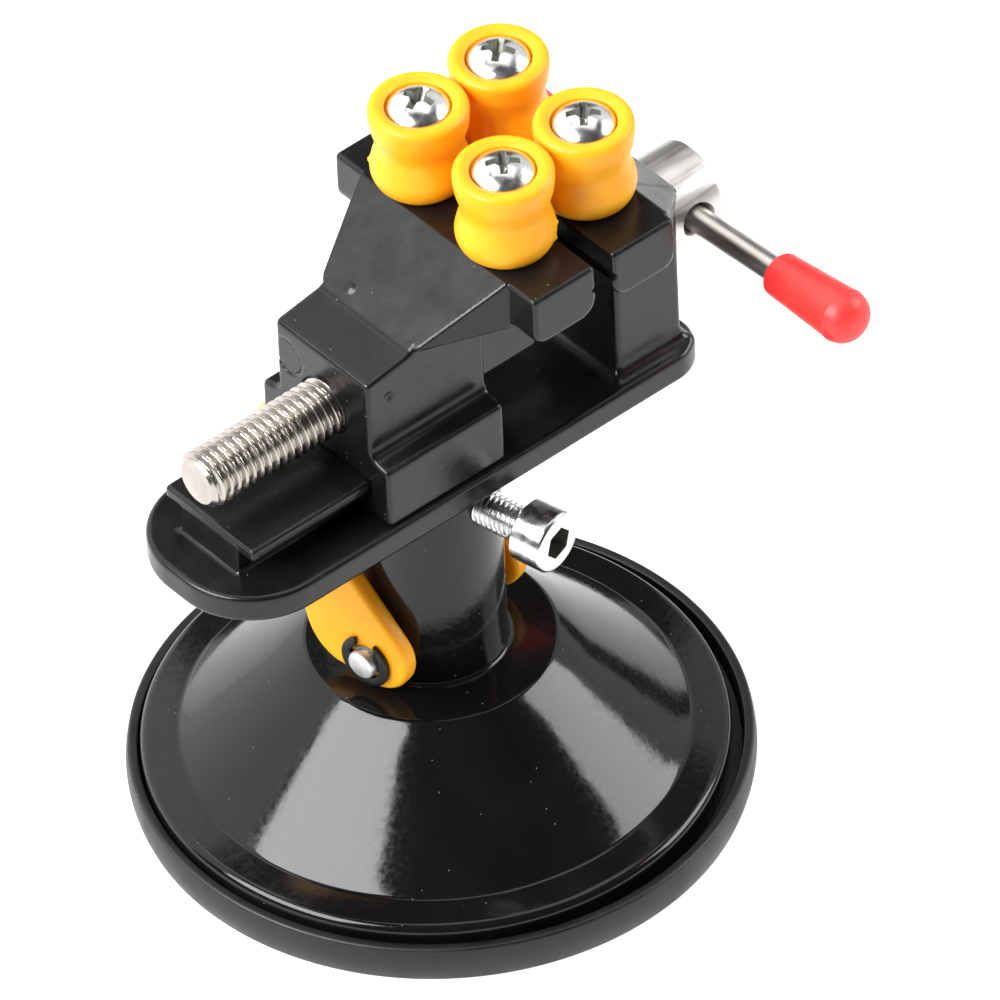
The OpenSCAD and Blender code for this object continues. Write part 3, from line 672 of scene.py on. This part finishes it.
def bedField(x, y, z):
    c = bedCast
    side = np.abs(y)
    middle = (c["left"] + c["right"]) / 2
    corner = np.where(x < middle, c["leftCorner"], c["rightCorner"])
    qx = np.abs(x - middle) - (c["right"] - c["left"]) / 2 + corner
    qy = side - c["half"] + corner
    plan = np.minimum(np.maximum(qx, qy), 0) + np.hypot(np.maximum(qx, 0), np.maximum(qy, 0)) - corner
    cast = roundMax(plan, span(z, c["bottom"], c["top"]), c["edge"])
    rail = (c["railLeft"], c["railRight"])
    webSides, webLevels = (-c["webHalf"], c["webHalf"]), (c["top"] - 1, c["railTop"] - 1)
    web = block(x, y, z, rail, webSides, webLevels, c["webEdge"])
    flangeSides, flangeLevels = (-c["flangeHalf"], c["flangeHalf"]), (c["flangeBottom"], c["railTop"])
    flange = block(x, y, z, rail, flangeSides, flangeLevels, c["flangeEdge"])
    cast = roundMin(roundMin(cast, web, c["railCove"]), flange, c["join"])
    rear = c["face"] + jawHead["thick"]
    low, top = c["top"] - 2, jawHead["top"]
    outline = (
        (c["pillarLeft"], low), (c["pillarRight"], low), (c["pillarRight"], c["pillarRear"]),
        (rear, top), (c["pillarLeft"], top),
    )
    pillar = [(px, s * c["pillarHalf"], pz) for px, pz in outline for s in (-1, 1)]
    post = flatSided(x, y, z, hullPlanes(pillar), c["pillarEdge"])
    wing = [(px, py, top) for px in (rear - 2, rear) for py in (-1, c["bracketHalf"])]
    wing += [(px, c["bracketHalf"], jawHead["bottom"] + 1) for px in (rear - 2, rear)]
    for py, drop in ((-1, 0), (c["pillarHalf"], 0), (c["pillarHalf"], 0.6)):
        wing.append((c["pillarRight"], py, c["pillarRear"] - drop))
    wing += [(px, py, c["bracketFoot"]) for px in (rear - 2, rear) for py in (-1, c["pillarHalf"])]
    post = roundMin(post, flatSided(x, side, z, hullPlanes(wing), c["bracketEdge"]), c["join"])
    post = np.minimum(post, headField(x - c["face"], y, z, c["pegX"] - c["face"]))
    cast = roundMin(cast, post, c["cove"])
    bore = np.maximum(np.hypot(y, z - screwHeight) - c["journal"], c["face"] - x)
    cast = roundMax(cast, -bore, c["join"])
    out = np.hypot(x, y)
    spigot = roundMax(out - c["spigot"], span(z, c["spigotBottom"], c["top"] - 1), c["spigotEdge"])
    ring = np.maximum(c["grooveRadius"] - out, np.abs(z - lockHeight) - c["grooveHalf"])
    return np.minimum(cast, np.maximum(spigot, -ring))


def jawField(x, y, z):
    c = jawCast
    side = np.abs(y)
    rise = (c["breakZ"] - c["frontTop"]) / (c["breakX"] - c["front"])
    flat = (z - c["breakZ"] - rise * (x - c["breakX"])) / math.hypot(1, rise)
    steep = (jawHead["top"] - c["breakZ"]) / (c["headRear"] - c["breakX"])
    slope = (z - c["breakZ"] - steep * (x - c["breakX"])) / math.hypot(1, steep)
    wall = roundMax(side - c["wallHalf"], roundMin(flat, slope, c["breakSoft"]), c["edge"])
    fall = c["shoulderRise"] / (c["skirtHalf"] - c["wallHalf"])
    shoulder = (z - c["shoulder"] - fall * (c["skirtHalf"] - side)) / math.hypot(1, fall)
    skirt = roundMax(side - c["skirtHalf"], shoulder, c["edge"])
    jaw = roundMin(wall, skirt, c["cove"])
    jaw = roundMax(jaw, c["foot"] - z, c["footEdge"])
    jaw = roundMax(jaw, span(x, c["front"], c["rear"]), c["edge"])
    jaw = np.maximum(jaw, z - jawHead["top"] + 0.03)
    jaw = roundMin(jaw, ballField(x, y, z, c["nub"], c["nubRadius"]), c["nubJoin"])
    jaw = roundMax(jaw, -ballField(x, y, z, c["pit"], c["pitRadius"]), c["pitEdge"])
    # the round mark of an ejector pin, deeper on its lower far side
    markY, markZ, markRadius = c["pinMark"]
    tip = ((y - markY) - (z - markZ)) / markRadius / math.sqrt(2)
    level = x - c["front"] + c["markOut"] - c["markTilt"] * tip
    mark = np.hypot(np.hypot(y - markY, z - markZ) - markRadius, level) - c["markGroove"]
    jaw = roundMax(jaw, -mark, c["markEdge"])
    neckSides, neckLevels = (-c["neckHalf"], c["neckHalf"]), (c["neckBottom"], jawHead["bottom"] + 1)
    neck = block(x, y, z, (0, c["neckEnd"]), neckSides, neckLevels, c["neckEdge"])
    boss = np.hypot(y, z - screwHeight) - c["boss"]
    boss = roundMax(boss, span(x, c["front"] + 1, c["neckEnd"]), c["bossEdge"])
    jaw = roundMin(jaw, roundMin(neck, boss, c["bossEdge"]), c["join"])
    flare = [(c["breakX"], s * c["wallHalf"], c["breakZ"]) for s in (-1, 1)]
    for s in (-1, 1):
        for px in (c["headRear"], 8):
            flare += [(px, s * c["flareHalf"], pz) for pz in (jawHead["bottom"], jawHead["top"])]
    jaw = np.minimum(jaw, flatSided(x, y, z, hullPlanes(flare), c["flareEdge"]))
    jaw = np.minimum(jaw, headField(c["face"] - x, y, z, c["face"] - c["pegX"]))
    slot = np.maximum(side - c["slotWeb"], span(z, c["foot"] - 3, c["slotLip"] + 1))
    slot = np.minimum(slot, np.maximum(side - c["slotHalf"], span(z, c["slotLip"], c["slotRoof"])))
    jaw = roundMax(jaw, -slot, c["join"])
    return roundMax(jaw, c["bore"] - np.hypot(y, z - screwHeight), c["boreEdge"])


def makeCasting(name, node, body, fieldOf, step):
    low, high = nodeBox(node)
    obj = fieldObject(name, fieldOf, low, high, step)
    finishPiece(obj, body, castingBlack, [node])


makeCasting("bedCasting", "vise_bed", "head", bedField, bedCast["step"])
makeCasting("jawCasting", "moving_jaw", "jaw", jawField, jawCast["step"])
print("castings made")


# lever, its axle and clips

lever = {
    "swing": 75, "camStart": 3.2, "camEnd": 9, "lean": 41, "heelRadius": 5.3, "heelOffset": 0.9,
    "heelDrop": 4.2, "behind": 7, "length": 34, "handle": 3, "tipRadius": 28, "armIn": 10.4, "armThick": 2.6,
    "backBend": 19, "bore": 2.05, "boreEdge": 0.25, "join": 0.3, "edge": 0.9, "step": 0.3,
}


def leverPoint(s, v):
    lean = math.radians(lever["lean"])
    return (s * math.sin(lean) + v * math.cos(lean), s * math.cos(lean) - v * math.sin(lean))


def leverOutline():
    # the side view: a rounded heel, the handle, and a cam that lifts evenly as the lever turns
    lean = math.radians(lever["lean"])
    rate = (lever["camEnd"] - lever["camStart"]) / math.radians(lever["swing"])
    heel = (-lever["heelOffset"], lever["heelRadius"] - lever["heelDrop"])
    nearSide = heel[0] * math.cos(lean) - heel[1] * math.sin(lean) - lever["heelRadius"]
    end, thick = lever["length"], lever["handle"]
    points = arcPoints(*heel, lever["heelRadius"], 280, 180 - lever["lean"], 32)
    points += [leverPoint(12, nearSide), leverPoint(end - 1.5, -0.4), leverPoint(end, 0.8)]
    points += [leverPoint(end, thick - 1), leverPoint(end - 1.2, thick), leverPoint(lever["backBend"], 0.3)]
    for i in range(24, -1, -1):
        a = math.radians(lever["swing"]) * i / 24
        reach = lever["camStart"] + rate * a
        points.append((reach * math.sin(a) + rate * math.cos(a), rate * math.sin(a) - reach * math.cos(a)))
    return points


def leverField(u, v, w):
    # u is the far side, v is up and w runs along the axle
    lean = math.radians(lever["lean"])
    s = u * math.sin(lean) + v * math.cos(lean)
    across = u * math.cos(lean) - v * math.sin(lean)
    end, thick = lever["length"], lever["handle"]
    inner, outer = lever["armIn"], lever["armIn"] + lever["armThick"]
    shape = outlineField(u, v, leverOutline())
    arms = roundMax(shape, span(np.abs(w), inner, outer), lever["edge"])
    start = (inner + thick * math.cos(lean)) / math.sin(lean) + 0.8
    grade = (thick - 0.6) / (end - start)
    under = (0.4 - thick + grade * (s - start) - across) / math.hypot(1, grade)
    web = roundMax(roundMax(shape, start - s, lever["edge"]), under, lever["edge"])
    web = np.maximum(web, np.abs(w) - inner - 0.5)
    fork = roundMin(arms, web, lever["join"])
    fork = roundMax(fork, np.hypot(s - end + lever["tipRadius"], w) - lever["tipRadius"], lever["edge"])
    return roundMax(fork, lever["bore"] - np.hypot(u, v), lever["boreEdge"])


def makeLever():
    farSide = baseTurn * -1
    up = Vector((0, 0, 1))
    turn = Matrix((farSide, up, farSide.cross(up))).transposed().to_4x4()
    place = Matrix.Translation(Vector((0, 0, axleHeight))) @ turn
    wide = lever["armIn"] + lever["armThick"]
    low = (-lever["behind"], -lever["behind"], -wide)
    high = (lever["length"], lever["length"], wide)
    obj = fieldObject("leverFork", leverField, low, high, lever["step"], place)
    finishPiece(obj, "lever", nylonAmber, ["cam_lever"])


makeLever()

axle = {
    "radius": 2, "endEdge": 0.35, "groove": 1.44, "half": 14.6, "clipIn": 13.1, "clipThick": 0.6, "steps": 64,
}
clips = {"edge": 0.1, "edgeSteps": 2, "edgeDeg": 30}


def makeAxle():
    half, r, groove, edge = axle["half"], axle["radius"], axle["groove"], axle["endEdge"]
    side = [(0, half), (r - edge, half), (r - 0.12, half - 0.1), (r, half - edge)]
    inner, outer = axle["clipIn"], axle["clipIn"] + axle["clipThick"]
    side += [(r, outer + 0.02), (groove, outer), (groove, inner), (r, inner - 0.02), (r, 0)]
    rows = [(radius, -z) for radius, z in side] + [(radius, z) for radius, z in reversed(side[:-1])]
    obj = meshObject("leverAxle", turnRows(rows, axle["steps"]), axisFrame((0, 0, axleHeight), axleWay))
    finishPiece(obj, "lift", zincAxle, ["lever_axle"])


makeAxle()
for clipName in ("axle_clip_near", "axle_clip_far", "screw_clip"):
    softenEdges(cadNodes[clipName], clips["edge"], clips["edgeSteps"], clips["edgeDeg"])
    finishPiece(cadNodes[clipName], None, clipBlack)
finishPiece(cadNodes["pad_stem"], None, padRubber)
print("lever made")


# threads

threadShape = {"flat": 0.14, "slope": 0.72, "soft": 0.35, "runOut": 1.35}


def threadRows(thread, start, end):
    # a turned body whose radius follows a helix; it rises from a chamfer at its start
    pitch, radius, depth = thread["pitch"], thread["radius"], thread["depth"]
    soft = threadShape["soft"]
    count = round((end - start) / pitch * thread["rowsPerTurn"])
    rows = []
    for i in range(count + 1):
        z = start + (end - start) * i / count
        limit = radius - depth * threadShape["runOut"] + (z - start)

        def wave(a, z=z, limit=limit):
            phase = (z / pitch - a / (2 * math.pi)) % 1.0
            flank = min(1.0, max(0.0, (abs(2 * phase - 1) - threadShape["flat"]) / threadShape["slope"]))
            flank = flank * flank * (3 - 2 * flank) * soft + flank * (1 - soft)
            return min(radius - depth * flank, limit)

        rows.append((wave, z))
    return rows


# lead screw, sliding bar and caps

screwSpot = Vector(joints["screw_turn"]["pos_m"]) / mm
barSpot = Vector(joints["bar_slide"]["pos_m"]) / mm
barWay = Vector(joints["bar_slide"]["axis"])
screw = {
    "pitch": 1.25, "radius": 4.0, "depth": 0.72, "threadEnd": 22.05, "rowsPerTurn": 16,
    "journal": 3.2, "groove": 2.6, "clipAt": 23.35, "clipThick": 0.6,
    "headAt": 35.0, "headRadius": 6.4, "headEdge": 0.3, "headChamfer": 0.7,
    "barHole": 2.1, "barMouth": 2.6, "mouthDepth": 0.8, "steps": 72,
}
bar = {"radius": 1.75, "half": 34, "edge": 0.3, "steps": 64}
cap = {
    "mouth": 22, "mouthRadius": 3.0, "mouthRound": 0.35, "radius": 3.6, "end": 37.2,
    "roundedEnd": 2.9, "seam": 0.09, "bore": 1.76, "steps": 72,
}


def makeLeadScrew():
    low, high = nodeBox("lead_screw")
    end, r, headAt, edge = high.x, screw["headRadius"], screw["headAt"], screw["headEdge"]
    journal, groove, threadEnd = screw["journal"], screw["groove"], screw["threadEnd"]
    clipIn, clipOut = screw["clipAt"], screw["clipAt"] + screw["clipThick"]
    rows = [(0, low.x)] + threadRows(screw, low.x, threadEnd)
    rows += [(journal, threadEnd + 0.5), (journal, clipIn), (groove, clipIn)]
    rows += [(groove, clipOut), (journal, clipOut)]
    rows += [(journal, headAt), (r - edge, headAt), (r, headAt + edge), (r, (headAt + end) / 2)]
    chamfer = screw["headChamfer"]
    rows += arcPoints(r - chamfer, end - chamfer, chamfer, 0, 90, 6)
    rows += [(r * 0.5, end), (0, end)]
    place = axisFrame((0, screwSpot.y, screwSpot.z), (1, 0, 0))
    obj = meshObject("leadScrew", turnRows(rows, screw["steps"]), place, sharpDeg=40)
    # the hole for the bar widens at both mouths
    mouth = screw["barMouth"]
    half = [(screw["barHole"], r - screw["mouthDepth"]), (mouth, r), (mouth, r + 3), (0, r + 3)]
    holeRows = [(radius, -h) for radius, h in reversed(half)] + half
    cutAway(obj, meshObject("barTool", turnRows(holeRows, 48), axisFrame(barSpot, barWay)), sharpDeg=40)
    finishPiece(obj, "screw", nickelThread, ["lead_screw"])
    moreFinishes(obj, [nickelHead], lambda c, way: c.x > headAt - 0.01)


def makeBar():
    half, r, edge = bar["half"], bar["radius"], bar["edge"]
    rows = [(0, -half), (r - edge, -half), (r, -half + edge), (r, 0)]
    rows += [(r, half - edge), (r - edge, half), (0, half)]
    obj = meshObject("slidingBar", turnRows(rows, bar["steps"]), axisFrame(barSpot, barWay))
    finishPiece(obj, "bar", nickelBar, ["tommy_bar"])


def makeCap(name, node, way):
    mouth, end, edge, bore = cap["mouth"], cap["end"], cap["mouthRound"], cap["bore"]
    r, r0, seam = cap["radius"], cap["mouthRadius"], cap["seam"]
    bottom = bar["half"] + 0.02
    rows = [(0, bottom), (bore, bottom), (bore, mouth + 0.15), (bore + 0.25, mouth)]
    rows += arcPoints(r0 - edge, mouth + edge, edge, -90, 0, 5)
    start, turnAt = mouth + edge, end - cap["roundedEnd"]
    rows += [(r0 + (r - r0) * t / 8, start + (turnAt - 0.5 - start) * t / 8) for t in range(1, 9)]
    # a fine moulding seam runs round the cap where its rounded end starts
    rows += [(r, turnAt - 0.2), (r + seam, turnAt - 0.12), (r + seam, turnAt - 0.02)]
    endRadius, endAt = r - 0.02, turnAt + 0.08
    for t in range(12):
        a = math.pi / 2 * t / 12
        rows.append((endRadius * math.cos(a) ** 0.82, endAt + (end - endAt) * math.sin(a)))
    rows.append((0, end))
    obj = meshObject(name, turnRows(rows, cap["steps"]), axisFrame(barSpot, way), sharpDeg=60)
    finishPiece(obj, "bar", vinylRed, [node])


makeLeadScrew()
makeBar()
makeCap("nearCap", "bar_cap_near", barWay)
makeCap("farCap", "bar_cap_far", barWay * -1)
print("lead screw and bar made")


# lock screw

lock = {
    "pitch": 0.8, "radius": 2.5, "depth": 0.46, "rowsPerTurn": 10, "tip": 6.3,
    "headAt": 16.5, "headRadius": 4.25, "headLength": 5, "headEdge": 0.35, "headRound": 0.55,
    "socket": 4.0, "socketDepth": 2.5, "socketTurn": 12, "steps": 48,
}


def makeLockScrew():
    start, end = lock["headAt"], lock["headAt"] + lock["headLength"]
    r, edge, crown = lock["headRadius"], lock["headEdge"], lock["headRound"]
    rows = [(0, lock["tip"])] + threadRows(lock, lock["tip"], start - 0.1)
    rows += [(lock["radius"], start), (r - edge, start), (r, start + edge), (r, (start + end) / 2)]
    rows += arcPoints(r - crown, end - crown, crown, 0, 90, 5)
    rows += [(lock["socket"] * 0.66, end), (0, end)]
    place = axisFrame((0, 0, lockHeight), baseTurn)
    obj = meshObject("lockScrew", turnRows(rows, lock["steps"]), place, sharpDeg=40)
    corner = lock["socket"] / math.sqrt(3)
    hexagon = arcPoints(0, 0, corner, lock["socketTurn"], lock["socketTurn"] + 300, 5)
    tool = loft(hexagon, hexagon, end - lock["socketDepth"], end + 2)
    cutAway(obj, meshObject("hexTool", tool, place), sharpDeg=40)
    finishPiece(obj, "lock", zincPlate, ["lock_screw"])
    back = place.inverted()

    def inSocket(c, way):
        spot = back @ c
        return -lock["socketDepth"] - 0.05 < spot.z - end < -0.05 and spot.xy.length < corner + 0.05

    # painted shade: the faces inside the hex socket get the darker zinc
    moreFinishes(obj, [zincSocketShade], inSocket)


makeLockScrew()
print("lock screw made")


# pegs and their screws

peg = {
    "height": 12.8, "recess": 4.3, "recessDepth": 1.2, "recessRound": 0.3, "roundDrop": 0.62,
    "bore": 2.2, "crown": 1.0,
    "flash": 0.32, "flashSpread": (0.055, 0.36), "steps": 160,
    "side": (
        (4.8, 0), (5.3, 0.2), (5.75, 0.62), (6.12, 1.2), (6.38, 1.9), (6.48, 2.6), (6.43, 3.3), (6.2, 4.3),
        (5.88, 5.4), (5.7, 6.5), (5.8, 7.5), (6.06, 8.5), (6.32, 9.5), (6.46, 10.6), (6.5, 11.6),
    ),
}
pegScrew = {
    "shank": 2.0, "grip": 5.6, "head": 4.1, "headHeight": 2.4, "rim": 0.6, "rimEdge": 0.25, "rimRoll": 0.06,
    "cross": 1.05, "crossLength": 5.2, "crossDepth": 1.9, "crossFloor": (0.36, 0.62), "crossMouth": 1.1,
    "steps": 96,
}


def pegCentre(node):
    low, high = nodeBox(node)
    return Vector(((low.x + high.x) / 2, (low.y + high.y) / 2, low.z))


def curveAt(a, b, c, d, t):
    # a soft curve from b to c; a and d set the way it runs at its ends
    bend, twist = 2 * a - 5 * b + 4 * c - d, 3 * b - a - 3 * c + d
    return 0.5 * (2 * b + (c - a) * t + bend * t * t + twist * t ** 3)


def smoothRows(points, steps):
    ends = [points[0]] + list(points) + [points[-1]]
    rows = []
    for around in zip(ends, ends[1:], ends[2:], ends[3:]):
        for i in range(steps):
            rows.append(tuple(curveAt(*abcd, i / steps) for abcd in zip(*around)))
    return rows + [points[-1]]


def makePeg(name, node, body, flashSpots):
    height, crown = peg["height"], peg["crown"]
    outer = peg["side"][-1][0]
    rows = [(peg["bore"], 0)] + smoothRows(peg["side"], 3)
    rows += arcPoints(outer - crown, height - crown, crown, 6, 120, 12)
    edge = peg["recessRound"]
    rows += arcPoints(peg["recess"] + edge, height - peg["roundDrop"], edge, 120, 180, 4)
    floor = height - peg["recessDepth"]
    rows += [(peg["recess"], floor + 0.2), (peg["recess"] - 0.2, floor), (peg["bore"], floor), rows[0]]

    def flash(a, r, h):
        # small nibs of moulding flash on the parting line
        lift = 0
        wide, tall = peg["flashSpread"]
        for angleDeg, level in flashSpots:
            turn = (a - math.radians(angleDeg) + math.pi) % (2 * math.pi) - math.pi
            lift += peg["flash"] * math.exp(-(turn / wide) ** 2 - ((h - level) / tall) ** 2)
        return lift if r > peg["recess"] + 1 else 0

    mesh = closeRows(turnRows(rows, peg["steps"], flash))
    obj = meshObject(name, mesh, Matrix.Translation(pegCentre(node)), sharpDeg=50)
    finishPiece(obj, body, nylonAmber, [node])


def makePegScrew(name, node, pegNode, body, turnDeg):
    head, tall, rim = pegScrew["head"], pegScrew["headHeight"], pegScrew["rim"]
    seat = peg["height"] - peg["recessDepth"]
    shank, grip, edge = pegScrew["shank"], pegScrew["grip"], pegScrew["rimEdge"]
    rows = [(0, -grip), (shank - 0.4, -grip), (shank, -grip + 0.5)]
    rows += [(shank, seat), (head - edge, seat), (head, seat + edge), (head, seat + rim - 0.12)]
    # a low dome that rolls over at its rim
    ball = (head * head + (tall - rim) ** 2) / (2 * (tall - rim))
    middle = seat + tall - ball
    for t in range(15):
        share = 1 - t / 15
        a = math.asin(head / ball) * share
        rows.append((ball * math.sin(a) - pegScrew["rimRoll"] * share ** 6, middle + ball * math.cos(a)))
    rows.append((0, seat + tall))
    place = Matrix.Translation(pegCentre(pegNode)) @ Matrix.Rotation(math.radians(turnDeg), 4, "Z")
    obj = meshObject(name, turnRows(rows, pegScrew["steps"]), place, sharpDeg=40)
    top, deep = seat + tall + 0.3, seat + tall - pegScrew["crossDepth"]
    length, wide, mouth = pegScrew["crossLength"], pegScrew["cross"], pegScrew["crossMouth"]
    floorLength, floorWide = length * pegScrew["crossFloor"][0], wide * pegScrew["crossFloor"][1]
    for quarter in (0, 90):
        tool = loft(rectangle(floorLength, floorWide), rectangle(length * mouth, wide * mouth), deep, top)
        turned = place @ Matrix.Rotation(math.radians(quarter), 4, "Z")
        cutAway(obj, meshObject("crossTool", tool, turned), sharpDeg=30)
    # the middle of the cross is drawn out to a blunt point
    middleRows = [(0, deep - 0.45), (0.25, deep - 0.4), (floorWide, deep), (wide * 1.15, top), (0, top)]
    cutAway(obj, meshObject("middleTool", turnRows(middleRows, 24), place), sharpDeg=30)
    finishPiece(obj, body, zincPlate, [node])
    back = place.inverted()

    def inCross(c, way):
        spot = back @ c
        reach = spot.xy.length
        low = seat + (0.3 if reach > wide else -0.1)
        inside = reach < head * 0.85 and low < spot.z < middle + math.sqrt(ball * ball - reach * reach) - 0.07
        return inside * (2 if way.z > 0.6 else 1)  # painted shade: the floor of the cross is painted darker than its walls

    # painted shade: the faces inside each cross get darker finishes, darkest on its floor
    moreFinishes(obj, [zincCrossShade, zincSocketShade], inCross)


# the turn of each screw's cross, and where the peg shows moulding flash: angle and height
pegLooks = {
    1: (54, [(-44, 3.6), (-52, 1.6)]),
    2: (20, [(136, 3.2), (128, 1.5)]),
    3: (51, [(-40, 4.9)]),
    4: (38, [(140, 4.0)]),
}
for number, (turnDeg, flashSpots) in pegLooks.items():
    pegBody = "jaw" if number < 3 else "head"
    makePeg(f"pegSpool{number}", f"case_peg_{number}", pegBody, flashSpots)
    makePegScrew(f"pegScrew{number}", f"peg_screw_{number}", f"case_peg_{number}", pegBody, turnDeg)
print("pegs made")


# floor, light and camera

floor = {"size": 6.0, "colour": (0.4, 0.4, 0.402), "roughness": 0.6, "glow": 0.88}


def makeFloor():
    bm = bmesh.new()
    bmesh.ops.create_grid(bm, x_segments=2, y_segments=2, size=floor["size"] / mm / 2)
    obj = meshObject("floorSheet", bm)
    mat = bpy.data.materials.new("floorPaper")
    mat.use_nodes = True
    shader = mat.node_tree.nodes["Principled BSDF"]
    shader.inputs["Base Color"].default_value = (*floor["colour"], 1)
    shader.inputs["Roughness"].default_value = floor["roughness"]
    shader.inputs["Emission Color"].default_value = (1, 1, 1, 1)
    shader.inputs["Emission Strength"].default_value = floor["glow"]
    obj.data.materials.append(mat)


def aimed(obj, spot, target):
    obj.location = spot
    obj.rotation_euler = (Vector(target) - Vector(spot)).to_track_quat("-Z", "Y").to_euler()


view = {
    "azimuth": -38.98, "elevation": 42.86, "roll": -2.62, "distance": 3.0, "lens": 851.6, "sensor": 36.0,
    "aim": (0.0006, -0.00025, 0.05), "slideRight": 0.00908, "slideUp": -0.0028, "clip": (0.1, 20),
}


def wayTo(azimuth, elevation):
    az, el = math.radians(azimuth), math.radians(elevation)
    return Vector((math.sin(az) * math.cos(el), -math.cos(az) * math.cos(el), math.sin(el)))


def viewAxes():
    az, roll = math.radians(view["azimuth"]), math.radians(view["roll"])
    back = wayTo(view["azimuth"], view["elevation"])
    right = Vector((math.cos(az), math.sin(az), 0))
    up = back.cross(right)
    return right * math.cos(roll) + up * math.sin(roll), up * math.cos(roll) - right * math.sin(roll), back


def makeCamera():
    right, up, back = viewAxes()
    data = bpy.data.cameras.new("photoCamera")
    data.lens = view["lens"]
    data.sensor_width = view["sensor"]
    data.clip_start, data.clip_end = view["clip"]
    obj = newObject("photoCamera", data)
    spot = Vector(view["aim"]) + right * view["slideRight"] + up * view["slideUp"] + back * view["distance"]
    turn = Matrix((right, up, back)).transposed().to_4x4()
    obj.matrix_world = Matrix.Translation(spot) @ turn
    bpy.context.scene.camera = obj


# each softbox: bearing from the camera's side (right is positive), height angle, distance, size, brightness
softboxes = {
    "leftBox": (-61, 43, 1.1, (0.84, 0.62), 14.0),
    "rightBox": (100.5, 28, 1.1, (0.575, 0.5), 8.4),
    "topBox": (170, 76, 1.4, (1.4, 0.9), 2.0),
    "leftWall": (-127, 28, 1.8, (2.4, 2.0), 1.5),
    "rightWall": (140, 26, 1.8, (1.6, 1.4), 0.9),
}
roomLight = {"colour": (0.97, 0.98, 1.0), "strength": 0.08}


def makeLights():
    for name, (bearing, height, distance, size, brightness) in softboxes.items():
        data = bpy.data.lights.new(name, "AREA")
        data.shape = "RECTANGLE"
        data.size, data.size_y = size
        data.energy = brightness * math.pi * size[0] * size[1]
        spot = Vector(view["aim"]) + wayTo(view["azimuth"] + bearing, height) * distance
        aimed(newObject(name, data), spot, view["aim"])
    world = bpy.data.worlds.new("studioRoom")
    world.use_nodes = True
    back = world.node_tree.nodes["Background"]
    back.inputs["Color"].default_value = (*roomLight["colour"], 1)
    back.inputs["Strength"].default_value = roomLight["strength"]
    bpy.context.scene.world = world
    bpy.context.scene.view_settings.view_transform = "Standard"


makeFloor()
makeCamera()
makeLights()
print("stage set")

bpy.context.view_layer.update()
